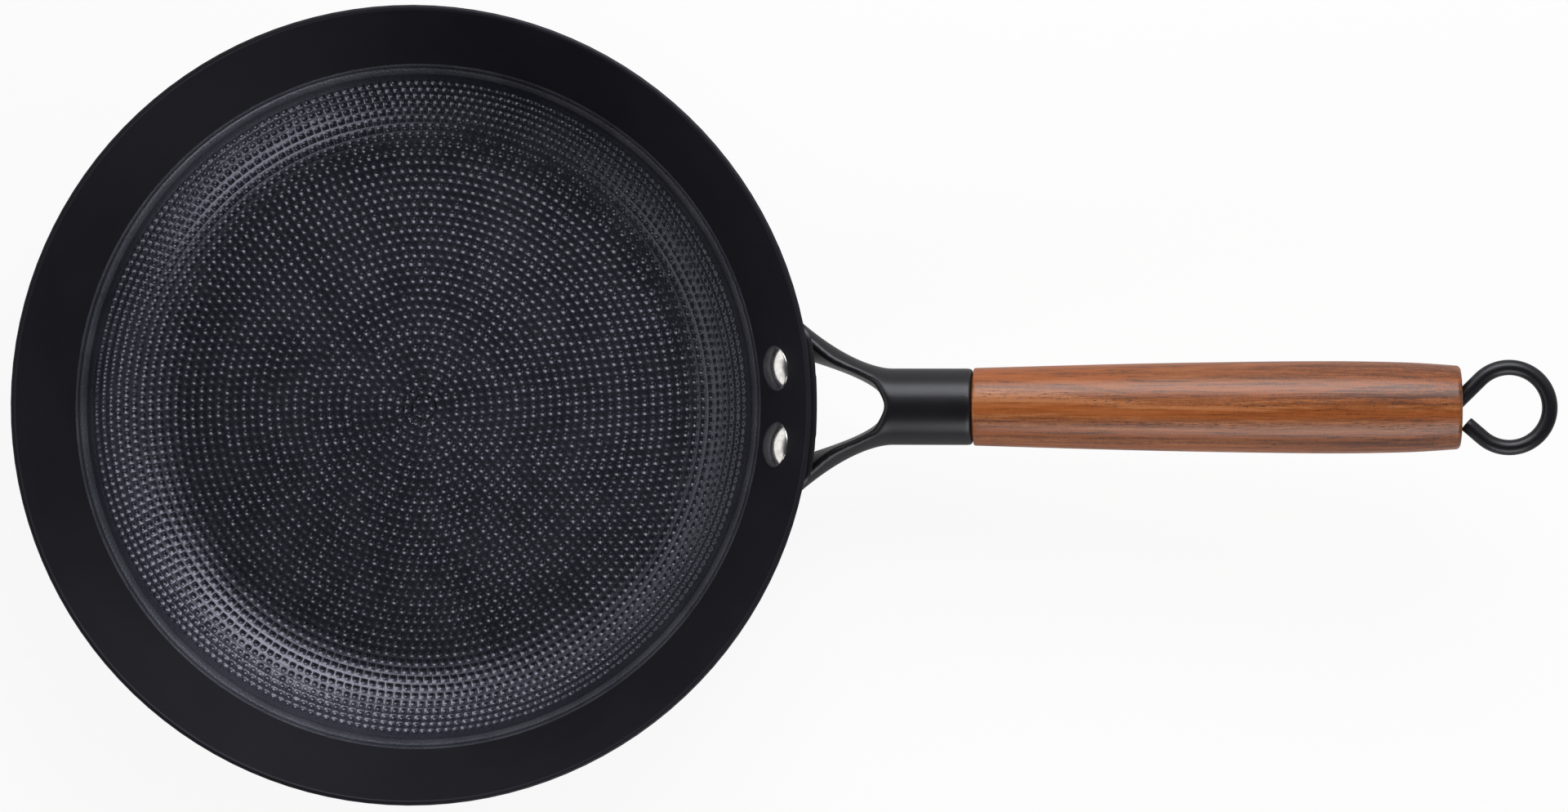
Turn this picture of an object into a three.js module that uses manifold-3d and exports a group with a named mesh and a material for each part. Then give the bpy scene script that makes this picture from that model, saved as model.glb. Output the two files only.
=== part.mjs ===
// Frying pan: a thin iron bowl with a riveted fork bracket, a turned wooden grip and a hanging hook.
// Millimetres, +Z up. The origin is the centre of the flat base's underside, +X runs along the handle.

import * as THREE from 'three';
import { mergeVertices } from 'three/addons/utils/BufferGeometryUtils.js';
import Module from 'manifold-3d';

const wasm = await Module();
wasm.setup();

// Bowl
const RIM_DIAMETER = 280;
const BOWL_HEIGHT = 50;
const WALL_THICKNESS = 2;
const WALL_ANGLE = 58; // degrees up from level
const CORNER_RADIUS = 37.5; // at the middle of the sheet
const PRESSED_DEPTH = 0.3; // how far the pressed cooking surface lies below the smooth band
const PRESSED_EDGE_RISE = 2; // along the wall, from the end of the corner to the band

// Fork bracket
const FLANGE_WIDTH = 64;
const FLANGE_HEIGHT = 24;
const FLANGE_THICKNESS = 3;
const FLANGE_CORNER = 9;
const FLANGE_DROP = 5; // from the top of the rim to the top of the flange
const FORK_LENGTH = 34.5; // from the flange to where the socket becomes round
const FORK_MARGIN = 1; // flange left showing above and below the arms
const FORK_SQUARENESS = 2.4; // section exponent at the flange, 2 being an ellipse
const SOCKET_DIAMETER = 27;
const SOCKET_LENGTH = 28.6;
const SOCKET_WALL = 2.3;
const SOCKET_WEB = 2.7; // metal between the tip of the window and the rod's hole
const SOCKET_EDGE = 0.5;
const WINDOW_TIP_BACK = 1.9; // from the round of the socket to the tip of the window
const WINDOW_TIP_RADIUS = 4.3; // of the lower edge, a parabola
const ARM_LEAN = 2.8; // how much wider the window is at the top of the arms than at the bottom
const ARM_LEAN_START = 5; // from the tip to where the arms lean fully
const ARM_ROOT_RADIUS = 8.3; // of the sweep from the arms' inner faces into the flange

// Handle
const HANDLE_RISE = 6; // degrees up from level
const GRIP_LENGTH = 169;
const GRIP_STEP = 0.2; // how far the front of the grip stands proud of the socket
const GRIP_BELLY_DIAMETER = 32.2;
const GRIP_END_DIAMETER = 29.2;
const GRIP_EDGE = 1.6;
const TENON_EDGE = 1;
const RECESS_MARGIN = 1.1; // around the rod's bend, in the end of the grip
const GRIP_RISING = { along: 0.36, gained: 2 / 3 }; // shares of its length and of the way out to the belly
const GRIP_FULLEST = 0.69; // share of its length, up to the belly
const GRIP_FALLING = { along: 0.88, lost: 1 / 4 }; // shares of its length and of the way in to the end

// Hook
const ROD_DIAMETER = 5.4;
const LOOP_DIAMETER = 33.2; // outside
const LOOP_REACH = 16.8; // from the end of the grip to the middle of the loop
const LEAVING_ANGLE = 45; // between the handle's axis and the strand that leaves the grip
const RETURN_ANGLE = 41; // between the handle's axis and the strand that comes back
const BEND_RADIUS = 6;
const ROD_TIP = 2.5; // rod beyond the nut

// Nut
const NUT_WIDTH = 10; // across the flats
const NUT_THICKNESS = 5;

// Rivets
const RIVET_SPACING = 27.2;
const RIVET_DROP = 17.2; // from the top of the rim to the middle of the head
const RIVET_HEAD_DIAMETER = 16.2;
const RIVET_HEAD_HEIGHT = 2.5;
const RIVET_EDGE = 0.4; // straight edge below each dome
const RIVET_SHANK_DIAMETER = 6;
const RIVET_TAIL_DIAMETER = 9.5;
const RIVET_TAIL_HEIGHT = 1.9;

// Clearances
const GAP = 0.3; // between pieces that seat on each other
const BLIND_END = 1; // past the end of a rod or a tenon

// Facets
const BOWL_FACETS = 88;
const ROUND_FACETS = 40;
const HOLE_FACETS = 20;
const RIVET_FACETS = 32;
const ROD_FACETS = 12;
const FORK_FACETS = 48;
const CORNER_STEPS = 8;
const LIP_STEPS = 5;
const DOME_STEPS = 4;
const EDGE_STEPS = 4;
const FLANGE_CORNER_STEPS = 5;
const FORK_STEPS = 12;
const WINDOW_STEPS = 16;
const WINDOW_LEVELS = 11;
const GRIP_STEPS = 16;
const SHANK_STEPS = 4;
const BEND_STEPS = 6;
const STRAND_STEPS = 2;
const LOOP_STEPS = 36;

const DEGREE = Math.PI / 180;
const WALL_SLOPE = WALL_ANGLE * DEGREE;
const WALL_SIN = Math.sin(WALL_SLOPE);
const WALL_COS = Math.cos(WALL_SLOPE);
const WALL_TAN = Math.tan(WALL_SLOPE);
const ROD_RADIUS = ROD_DIAMETER / 2;
const SOCKET_RADIUS = SOCKET_DIAMETER / 2;
const SOCKET_BORE_RADIUS = SOCKET_RADIUS - SOCKET_WALL;
const ROD_BORE_RADIUS = ROD_RADIUS + GAP;

// Solids and meshes

/** A closed geometry without doubled points or collapsed faces. */
function closed(geometry) {
  const bare = geometry.clone();
  bare.deleteAttribute('normal');
  bare.deleteAttribute('uv');
  const merged = mergeVertices(bare);
  const faces = [];
  for (let i = 0; i < merged.index.count; i += 3) {
    const [a, b, c] = [0, 1, 2].map((corner) => merged.index.getX(i + corner));
    if (a !== b && b !== c && c !== a) {
      faces.push(a, b, c);
    }
  }
  merged.setIndex(faces);
  return merged;
}

/** A solid that can be joined and cut, from a closed geometry. */
function solid(geometry) {
  const shape = closed(geometry);
  return new wasm.Manifold(new wasm.Mesh({
    numProp: 3,
    vertProperties: new Float32Array(shape.attributes.position.array),
    triVerts: new Uint32Array(shape.index.array),
  }));
}

/** The geometry of a joined or cut solid. */
function geometryOf(cut) {
  const { vertProperties, triVerts } = cut.getMesh();
  const geometry = new THREE.BufferGeometry();
  geometry.setAttribute('position', new THREE.BufferAttribute(vertProperties, 3));
  geometry.setIndex(new THREE.BufferAttribute(triVerts, 1));
  geometry.computeVertexNormals();
  return geometry;
}

/** A named piece with its own finish. */
function piece(name, geometry, finish) {
  const mesh = new THREE.Mesh(geometry, new THREE.MeshStandardMaterial(finish));
  mesh.name = name;
  return mesh;
}

/** A turned solid about Z from [radius, height] points. */
function turned(profile, facets) {
  const points = profile.map(([radius, height]) => new THREE.Vector2(radius, height));
  return closed(new THREE.LatheGeometry(points, facets)).rotateX(Math.PI / 2);
}

/** A turned solid about X from [radius, distance] points. */
function turnedAlongX(profile, facets) {
  return turned(profile, facets).rotateY(Math.PI / 2);
}

/** A plain round bar along X between two distances. */
function bar(radius, from, to, facets) {
  return turnedAlongX([[0, from], [radius, from], [radius, to], [0, to]], facets);
}

/** A solid skinned over rings of equal counts, with flat ends; flatten gives a ring's plane view. */
function skinned(rings, flatten) {
  const count = rings[0].length;
  const faces = [];
  for (let ring = 0; ring + 1 < rings.length; ring += 1) {
    for (let i = 0; i < count; i += 1) {
      const next = (i + 1) % count;
      const [a, b] = [ring * count + i, ring * count + next];
      const [c, d] = [a + count, b + count];
      faces.push(a, b, d, a, d, c);
    }
  }
  const last = (rings.length - 1) * count;
  for (const [a, b, c] of THREE.ShapeUtils.triangulateShape(rings[0].map(flatten), [])) {
    faces.push(c, b, a);
  }
  for (const [a, b, c] of THREE.ShapeUtils.triangulateShape(rings.at(-1).map(flatten), [])) {
    faces.push(last + a, last + b, last + c);
  }
  const geometry = new THREE.BufferGeometry().setFromPoints(rings.flat());
  geometry.setIndex(faces);
  return geometry;
}

/** Points of a circular arc as [x, y] pairs, both ends included. */
function arc(x, y, radius, from, to, steps) {
  const count = Math.round(steps);
  return Array.from({ length: count + 1 }, (_, i) => {
    const angle = from + ((to - from) * i) / count;
    return [x + radius * Math.cos(angle), y + radius * Math.sin(angle)];
  });
}

// Bowl: a sheet bent round a corner into a straight leaning wall with a rounded lip

const LIP = { radius: RIM_DIAMETER / 2 - WALL_THICKNESS / 2, height: BOWL_HEIGHT - WALL_THICKNESS / 2 };
const CORNER_HEIGHT = WALL_THICKNESS / 2 + CORNER_RADIUS;
const WALL_FOOT_HEIGHT = CORNER_HEIGHT - CORNER_RADIUS * WALL_COS;
const FLOOR_RADIUS = LIP.radius - CORNER_RADIUS * WALL_SIN - (LIP.height - WALL_FOOT_HEIGHT) / WALL_TAN;

/** The corner of the sheet at an offset from its middle, inwards positive. */
function corner(offset) {
  const start = -Math.PI / 2;
  return arc(FLOOR_RADIUS, CORNER_HEIGHT, CORNER_RADIUS - offset, start, start + WALL_SLOPE, CORNER_STEPS);
}

/** A point on the wall: along it from the end of the corner, and inwards from the sheet's middle. */
function onWall(along, offset) {
  const radius = FLOOR_RADIUS + CORNER_RADIUS * WALL_SIN + along * WALL_COS - offset * WALL_SIN;
  return [radius, WALL_FOOT_HEIGHT + along * WALL_SIN + offset * WALL_COS];
}

const WALL_LENGTH = (LIP.height - WALL_FOOT_HEIGHT) / WALL_SIN;
const HALF_SHEET = WALL_THICKNESS / 2;

function bowlProfile() {
  const pressed = HALF_SHEET - PRESSED_DEPTH;
  const start = WALL_SLOPE - Math.PI / 2;
  return [
    [0, 0],
    ...corner(-HALF_SHEET),
    ...arc(LIP.radius, LIP.height, HALF_SHEET, start, start + Math.PI, LIP_STEPS),
    onWall(PRESSED_EDGE_RISE + PRESSED_DEPTH, HALF_SHEET),
    onWall(PRESSED_EDGE_RISE, pressed),
    ...corner(pressed).reverse(),
    [0, HALF_SHEET + pressed],
  ];
}

/** The whole space of the bowl, grown outwards from its outer face and carried on above the rim. */
function bowlSpace(growth) {
  const top = onWall(WALL_LENGTH + BOWL_HEIGHT, -HALF_SHEET - growth);
  return turned([[0, -growth], ...corner(-HALF_SHEET - growth), top, [0, top[1]]], BOWL_FACETS);
}

// Rivets: one each side of the handle, square to the wall

const RIVET_ALONG = WALL_LENGTH - (RIVET_DROP - HALF_SHEET) / WALL_SIN;
const RIVET_RING = onWall(RIVET_ALONG, 0);
const RIVET_AZIMUTH = Math.asin(RIVET_SPACING / 2 / RIVET_RING[0]);
const HEAD_RADIUS = RIVET_HEAD_DIAMETER / 2;
const HEAD_HOLLOW = (HEAD_RADIUS ** 2 * WALL_SIN) / (2 * RIVET_RING[0]); // wall's curve under the flat head
const FLANGE_FACE = HALF_SHEET + GAP + FLANGE_THICKNESS; // from the middle of the sheet

/** Moves a geometry turned about Z onto a rivet's axis, +Z pointing into the bowl. */
function onRivetAxis(geometry, side) {
  const placed = geometry.rotateY(-WALL_SLOPE);
  placed.translate(RIVET_RING[0], 0, RIVET_RING[1]);
  return placed.rotateZ(side * RIVET_AZIMUTH);
}

/** A shallow dome's points from its edge to its top; direction is 1 for a dome that rises along Z. */
function dome(radius, height, level, direction) {
  const sphere = (radius ** 2 + height ** 2) / (2 * height);
  const spread = Math.asin(radius / sphere);
  const points = arc(0, height - sphere, sphere, Math.PI / 2 - spread, Math.PI / 2, DOME_STEPS);
  return points.map(([r, h]) => [r, level + direction * h]);
}

function rivetGeometry() {
  const seat = HALF_SHEET + HEAD_HOLLOW + GAP;
  const tailSeat = -FLANGE_FACE - GAP;
  const shank = RIVET_SHANK_DIAMETER / 2;
  const tailEdge = tailSeat - RIVET_EDGE;
  const tail = dome(RIVET_TAIL_DIAMETER / 2, RIVET_TAIL_HEIGHT - RIVET_EDGE, tailEdge, -1).reverse();
  const head = dome(HEAD_RADIUS, RIVET_HEAD_HEIGHT - RIVET_EDGE, seat + RIVET_EDGE, 1);
  return turned([
    ...tail,
    [RIVET_TAIL_DIAMETER / 2, tailSeat],
    [shank, tailSeat],
    [shank, seat],
    [HEAD_RADIUS, seat],
    ...head,
  ], RIVET_FACETS);
}

function rivetHole() {
  const radius = RIVET_SHANK_DIAMETER / 2 + GAP;
  const reach = FLANGE_FACE + RIVET_HEAD_HEIGHT + RIVET_TAIL_HEIGHT;
  return turned([[0, -reach], [radius, -reach], [radius, reach], [0, reach]], HOLE_FACETS);
}

// Handle frame: origin where the handle's axis meets the flange, +X along the handle

const FLANGE_MIDDLE = BOWL_HEIGHT - FLANGE_DROP - FLANGE_HEIGHT / 2;
const FLANGE_MIDDLE_ALONG = (FLANGE_MIDDLE - WALL_FOOT_HEIGHT + FLANGE_FACE * WALL_COS) / WALL_SIN;
const handle = new THREE.Group();
handle.position.set(onWall(FLANGE_MIDDLE_ALONG, -FLANGE_FACE)[0], 0, FLANGE_MIDDLE);
handle.rotation.y = -HANDLE_RISE * DEGREE;
handle.updateMatrix();
const INTO_HANDLE = handle.matrix.clone().invert();

const SOCKET_END = FORK_LENGTH + SOCKET_LENGTH;
const DRILL_END = FORK_LENGTH - WINDOW_TIP_BACK + SOCKET_WEB;
const NUT_FRONT = DRILL_END + BLIND_END + ROD_TIP;
const NUT_BACK = NUT_FRONT + NUT_THICKNESS;
const BORE_FLOOR = NUT_BACK + GAP;
const GRIP_FRONT = SOCKET_END + GAP;
const GRIP_BACK = GRIP_FRONT + GRIP_LENGTH;

// Bracket: a flange on the wall, two arms that flare out of a round socket, and a window between them

/** Half width, half height and squareness of the fork's section at a distance from the flange. */
function forkSection(x) {
  const spread = THREE.MathUtils.clamp((FORK_LENGTH - x) / FORK_LENGTH, 0, 1);
  const flangeHalf = FLANGE_HEIGHT / 2 - FORK_MARGIN;
  return {
    halfWidth: SOCKET_RADIUS + (FLANGE_WIDTH / 2 - SOCKET_RADIUS) * spread ** 2,
    halfHeight: THREE.MathUtils.lerp(SOCKET_RADIUS, flangeHalf, THREE.MathUtils.smoothstep(spread, 0, 1)),
    power: 2 / THREE.MathUtils.lerp(2, FORK_SQUARENESS, spread),
  };
}

/** One closed ring of the fork or the socket; trim takes the edge off the socket's end. */
function forkRing(x, trim = 0) {
  const { halfWidth, halfHeight, power } = forkSection(x);
  return Array.from({ length: FORK_FACETS }, (_, i) => {
    const angle = (2 * Math.PI * i) / FORK_FACETS;
    const [c, s] = [Math.cos(angle), Math.sin(angle)];
    const y = (halfWidth - trim) * Math.sign(c) * Math.abs(c) ** power;
    const z = (halfHeight - trim) * Math.sign(s) * Math.abs(s) ** power;
    return new THREE.Vector3(x, y, z);
  });
}

function forkBody() {
  const root = -FLANGE_HEIGHT / WALL_TAN - FLANGE_FACE / WALL_SIN;
  const flare = Array.from({ length: FORK_STEPS + 1 }, (_, i) => forkRing((FORK_LENGTH * i) / FORK_STEPS));
  const rings = [
    forkRing(root),
    ...flare,
    forkRing(SOCKET_END - SOCKET_EDGE),
    forkRing(SOCKET_END, SOCKET_EDGE),
  ];
  return skinned(rings, (point) => new THREE.Vector2(point.y, point.z));
}

/** Half width of the window, back from its tip; rise is 0 at the arms' lower level and 1 at their upper. */
function windowHalfWidth(back, rise) {
  const length = FORK_LENGTH - WINDOW_TIP_BACK;
  const root = THREE.MathUtils.clamp(back - length / 2, 0, length / 2);
  const sweep = root ** 2 / (2 * ARM_ROOT_RADIUS);
  const lean = ARM_LEAN * THREE.MathUtils.smoothstep(back, 0, ARM_LEAN_START) + sweep;
  return Math.sqrt(2 * WINDOW_TIP_RADIUS * back) + lean * rise;
}

/** The window's outline at one level, from one side of the flange round the tip to the other. */
function windowRing(rise) {
  const tip = FORK_LENGTH - WINDOW_TIP_BACK;
  const reach = tip + FLANGE_HEIGHT;
  const z = (2 * rise - 1) * (FLANGE_HEIGHT / 2 - FORK_MARGIN);
  return Array.from({ length: 2 * WINDOW_STEPS + 1 }, (_, i) => {
    const share = i / WINDOW_STEPS - 1;
    const back = reach * share ** 2;
    return new THREE.Vector3(tip - back, Math.sign(share) * windowHalfWidth(back, rise), z);
  });
}

function windowCutter() {
  const past = 0.5; // beyond the levels of the arms, so that the cut runs out of both faces
  const rings = Array.from({ length: WINDOW_LEVELS }, (_, i) => {
    const share = i / (WINDOW_LEVELS - 1);
    return windowRing(THREE.MathUtils.lerp(-past, 1 + past, share));
  });
  return skinned(rings, ({ x, y }) => new THREE.Vector2(x, y));
}

function flangePlate() {
  const outline = new THREE.Shape();
  const [halfWidth, halfHeight] = [FLANGE_WIDTH / 2, FLANGE_HEIGHT / 2];
  const [innerWidth, innerHeight] = [halfWidth - FLANGE_CORNER, halfHeight - FLANGE_CORNER];
  outline.absarc(innerWidth, innerHeight, FLANGE_CORNER, 0, Math.PI / 2);
  outline.absarc(-innerWidth, innerHeight, FLANGE_CORNER, Math.PI / 2, Math.PI);
  outline.absarc(-innerWidth, -innerHeight, FLANGE_CORNER, Math.PI, 1.5 * Math.PI);
  outline.absarc(innerWidth, -innerHeight, FLANGE_CORNER, 1.5 * Math.PI, 2 * Math.PI);
  const depth = RIM_DIAMETER / 2;
  const options = { depth, bevelEnabled: false, curveSegments: FLANGE_CORNER_STEPS };
  const block = new THREE.ExtrudeGeometry(outline, options);
  block.rotateX(Math.PI / 2);
  block.rotateZ(Math.PI / 2);
  block.translate(-depth / 2, 0, 0);
  const shell = bowlSpace(GAP + FLANGE_THICKNESS).applyMatrix4(INTO_HANDLE);
  return solid(block).intersect(solid(shell));
}

function hexagon(width) {
  const corner = width / Math.sqrt(3);
  return arc(0, 0, corner, 0, 2 * Math.PI, 6).slice(0, 6).map(([x, y]) => new THREE.Vector2(x, y));
}

/** A six-sided bar along X. */
function hexagonBar(width, from, to, hole) {
  const shape = new THREE.Shape(hexagon(width));
  if (hole) {
    shape.holes.push(new THREE.Path().absarc(0, 0, hole, 0, 2 * Math.PI));
  }
  const options = { depth: to - from, bevelEnabled: false, curveSegments: HOLE_FACETS / 2 };
  const geometry = new THREE.ExtrudeGeometry(shape, options);
  geometry.rotateY(Math.PI / 2);
  geometry.translate(from, 0, 0);
  return geometry;
}

function bracketGeometry() {
  const pocketFloor = NUT_FRONT - GAP;
  let bracket = solid(forkBody())
    .subtract(solid(windowCutter()))
    .add(flangePlate())
    .subtract(solid(bowlSpace(GAP).applyMatrix4(INTO_HANDLE)))
    .subtract(solid(bar(SOCKET_BORE_RADIUS, BORE_FLOOR, SOCKET_END + BLIND_END, ROUND_FACETS)))
    .subtract(solid(hexagonBar(NUT_WIDTH + 2 * GAP, pocketFloor, BORE_FLOOR + BLIND_END)))
    .subtract(solid(bar(ROD_BORE_RADIUS, DRILL_END, BORE_FLOOR, HOLE_FACETS)));
  for (const side of [-1, 1]) {
    bracket = bracket.subtract(solid(onRivetAxis(rivetHole(), side).applyMatrix4(INTO_HANDLE)));
  }
  return geometryOf(bracket);
}

function bowlGeometry() {
  let bowl = solid(turned(bowlProfile(), BOWL_FACETS));
  for (const side of [-1, 1]) {
    bowl = bowl.subtract(solid(onRivetAxis(rivetHole(), side)));
  }
  return geometryOf(bowl);
}

// Hook: one rod, from its threaded tip in the nut, out of the grip and round into a loop

/** A path of stretches, each with its own number of steps. */
class RodPath extends THREE.Curve {
  constructor(stretches) {
    super();
    this.stretches = stretches;
    this.steps = Math.round(stretches.reduce((sum, { steps }) => sum + steps, 0));
  }

  getUtoTmapping(u) {
    return u;
  }

  getPoint(t) {
    let left = t * this.steps;
    for (const { curve, steps } of this.stretches) {
      if (left <= steps) {
        return curve.getPoint(left / steps);
      }
      left -= steps;
    }
    return this.stretches.at(-1).curve.getPoint(1);
  }
}

/** A round bend in the handle's level plane. */
class Bend extends THREE.Curve {
  constructor(x, y, radius, from, to) {
    super();
    Object.assign(this, { x, y, radius, from, to });
  }

  getPoint(t) {
    const angle = this.from + (this.to - this.from) * t;
    return new THREE.Vector3(
      this.x + this.radius * Math.cos(angle),
      this.y + this.radius * Math.sin(angle),
      0,
    );
  }
}

function straight(from, to) {
  return new THREE.LineCurve3(from, to);
}

const LEAVING = LEAVING_ANGLE * DEGREE;
const RETURNING = RETURN_ANGLE * DEGREE;
const LOOP_RADIUS = LOOP_DIAMETER / 2 - ROD_RADIUS;
const LOOP_MIDDLE = GRIP_BACK + LOOP_REACH;
const LOOP = new Bend(LOOP_MIDDLE, 0, LOOP_RADIUS, Math.PI / 2 + LEAVING, -Math.PI / 2 - RETURNING);
const LOOP_START = LOOP.getPoint(0);
const LOOP_END = LOOP.getPoint(1);
const CROSSING = LOOP_START.x - LOOP_START.y / Math.tan(LEAVING); // of the leaving strand and the axis
const BEND_START = CROSSING - BEND_RADIUS * Math.tan(LEAVING / 2);
const MOUTH_RADIUS = (GRIP_BACK - CROSSING) * Math.tan(LEAVING) + ROD_RADIUS / Math.cos(LEAVING);

function hookGeometry() {
  const bend = new Bend(BEND_START, BEND_RADIUS, BEND_RADIUS, -Math.PI / 2, LEAVING - Math.PI / 2);
  const tip = new THREE.Vector3(NUT_FRONT - ROD_TIP, 0, 0);
  const endX = GRIP_BACK + GAP + ROD_RADIUS * Math.sin(RETURNING);
  const endY = LOOP_END.y + (LOOP_END.x - endX) * Math.tan(RETURNING);
  const path = new RodPath([
    { curve: straight(tip, bend.getPoint(0)), steps: SHANK_STEPS },
    { curve: bend, steps: BEND_STEPS },
    { curve: straight(bend.getPoint(1), LOOP_START), steps: STRAND_STEPS },
    { curve: LOOP, steps: LOOP_STEPS },
    { curve: straight(LOOP_END, new THREE.Vector3(endX, endY, 0)), steps: STRAND_STEPS },
  ]);
  const section = new THREE.Shape().absarc(0, 0, ROD_RADIUS, 0, 2 * Math.PI);
  return new THREE.ExtrudeGeometry(section, {
    steps: path.steps,
    extrudePath: path,
    curveSegments: ROD_FACETS / 2,
    bevelEnabled: false,
  });
}

// Grip: a turned belly with a tenon in the socket and a recess round the hook's bend

function gripGeometry() {
  const front = SOCKET_RADIUS + GRIP_STEP;
  const belly = GRIP_BELLY_DIAMETER / 2;
  const end = GRIP_END_DIAMETER / 2;
  const tenon = SOCKET_BORE_RADIUS - GAP;
  const tenonTip = BORE_FLOOR + BLIND_END;
  const recess = MOUTH_RADIUS + RECESS_MARGIN;
  const recessFloor = BEND_START - RECESS_MARGIN;
  const rising = THREE.MathUtils.lerp(front, belly, GRIP_RISING.gained);
  const falling = THREE.MathUtils.lerp(belly, end, GRIP_FALLING.lost);
  const side = new THREE.SplineCurve([
    new THREE.Vector2(front, GRIP_FRONT + GRIP_EDGE / 2),
    new THREE.Vector2(rising, GRIP_FRONT + GRIP_RISING.along * GRIP_LENGTH),
    new THREE.Vector2(belly, GRIP_FRONT + GRIP_FULLEST * GRIP_LENGTH),
    new THREE.Vector2(falling, GRIP_FRONT + GRIP_FALLING.along * GRIP_LENGTH),
    new THREE.Vector2(end, GRIP_BACK - GRIP_EDGE),
  ]);
  const rounding = arc(end - GRIP_EDGE, GRIP_BACK - GRIP_EDGE, GRIP_EDGE, 0, Math.PI / 2, EDGE_STEPS);
  return turnedAlongX([
    [ROD_BORE_RADIUS, tenonTip],
    [tenon - TENON_EDGE, tenonTip],
    [tenon, tenonTip + TENON_EDGE],
    [tenon, GRIP_FRONT],
    [front - GRIP_EDGE / 2, GRIP_FRONT],
    ...side.getPoints(GRIP_STEPS).map(({ x, y }) => [x, y]),
    ...rounding.slice(1),
    [recess, GRIP_BACK],
    [recess, recessFloor],
    [ROD_BORE_RADIUS, recessFloor],
    [ROD_BORE_RADIUS, tenonTip],
  ], ROUND_FACETS);
}

// Assembly

const BLACK_IRON = { color: 0x202227, roughness: 0.6, metalness: 0.5 };
const BRIGHT_METAL = { color: 0xd9d8d6, roughness: 0.2, metalness: 1 };
const SOCKET_PAINT = { color: 0x1b1b1e, roughness: 0.45, metalness: 0.2 };
const ZINC = { color: 0x9a9a98, roughness: 0.4, metalness: 1 };
const BROWN_WOOD = { color: 0x7c4426, roughness: 0.5, metalness: 0 };
const ROD_PAINT = { color: 0x1b1b1e, roughness: 0.4, metalness: 0.2 };

const pan = new THREE.Group();
pan.add(piece('pan_bowl', bowlGeometry(), BLACK_IRON));
for (const [side, name] of [[1, 'rivet_left'], [-1, 'rivet_right']]) {
  pan.add(piece(name, onRivetAxis(rivetGeometry(), side), BRIGHT_METAL));
}
handle.add(piece('handle_bracket', bracketGeometry(), SOCKET_PAINT));
handle.add(piece('socket_nut', hexagonBar(NUT_WIDTH, NUT_FRONT, NUT_BACK, ROD_BORE_RADIUS), ZINC));
handle.add(piece('grip', gripGeometry(), BROWN_WOOD));
handle.add(piece('hanging_hook', hookGeometry(), ROD_PAINT));
pan.add(handle);

export default pan;
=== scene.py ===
"""Looks of a dimpled iron frying pan with a fork bracket, a turned wooden grip and a hanging hook."""

import logging
import math
from collections.abc import Mapping, Sequence
from dataclasses import dataclass, field
from enum import Enum, IntEnum
from functools import cache
from typing import Any, Union

import bpy
import numpy as np
from mathutils import Matrix, Vector


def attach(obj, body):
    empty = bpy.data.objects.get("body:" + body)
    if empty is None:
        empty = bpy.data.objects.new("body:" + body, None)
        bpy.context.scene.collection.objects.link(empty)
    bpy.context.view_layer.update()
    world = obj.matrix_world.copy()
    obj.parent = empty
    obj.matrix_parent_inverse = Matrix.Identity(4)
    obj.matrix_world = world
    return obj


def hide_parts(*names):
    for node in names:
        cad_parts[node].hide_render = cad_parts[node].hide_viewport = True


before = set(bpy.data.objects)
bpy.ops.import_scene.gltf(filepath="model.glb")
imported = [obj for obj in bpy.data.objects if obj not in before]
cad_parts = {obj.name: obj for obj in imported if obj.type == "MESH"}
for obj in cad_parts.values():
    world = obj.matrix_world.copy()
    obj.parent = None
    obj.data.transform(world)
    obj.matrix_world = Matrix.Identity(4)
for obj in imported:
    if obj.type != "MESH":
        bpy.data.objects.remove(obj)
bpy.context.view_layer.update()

MM = 0.001
BAKE_MAP = "OFBake"
CUP_SIDES = 8
LOG = logging.getLogger("frying_pan")

Colour = tuple[float, float, float, float]
Operand = Union["Signal", float]


class Body(Enum):
    """The bodies that pieces move with."""

    PAN = "pan"
    HOOK = "hook"


class Side(Enum):
    """The two sides of the handle."""

    LEFT = 1
    RIGHT = -1


class Zone(IntEnum):
    """The bowl's surfaces."""

    CUPS = 0
    LEDGE = 1
    BAND = 2
    OUTSIDE = 3


# Shader maths


class Signal:
    """A value that runs through a finish's nodes, so that its maths reads as plain Python."""

    def __init__(self, graph: "Graph", socket: bpy.types.NodeSocket) -> None:
        """Wraps an output socket of a graph."""
        self.graph = graph
        self.socket = socket

    def math(self, operation: str, *values: Operand) -> "Signal":
        """Adds one Math node.

        Args:
            operation: The Math node's operation.
            *values: Its values or links, in order.

        Returns:
            The node's result.
        """
        return self.graph.take("ShaderNodeMath", {"operation": operation}, dict(enumerate(values)))

    def __add__(self, other: Operand) -> "Signal":
        """Adds a value."""
        return self.math("ADD", self, other)

    def __radd__(self, other: float) -> "Signal":
        """Adds to a number."""
        return self.math("ADD", other, self)

    def __sub__(self, other: Operand) -> "Signal":
        """Takes a value away."""
        return self.math("SUBTRACT", self, other)

    def __rsub__(self, other: float) -> "Signal":
        """Takes the signal from a number."""
        return self.math("SUBTRACT", other, self)

    def __mul__(self, other: Operand) -> "Signal":
        """Multiplies by a value."""
        return self.math("MULTIPLY", self, other)

    def __pow__(self, other: Operand) -> "Signal":
        """Raises to a power."""
        return self.math("POWER", self, other)

    def most(self, other: Operand) -> "Signal":
        """The larger of two values."""
        return self.math("MAXIMUM", self, other)

    def swing(self, amount: float) -> "Signal":
        """How far a noise is from its middle, times an amount."""
        return (self - 0.5) * amount


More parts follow.
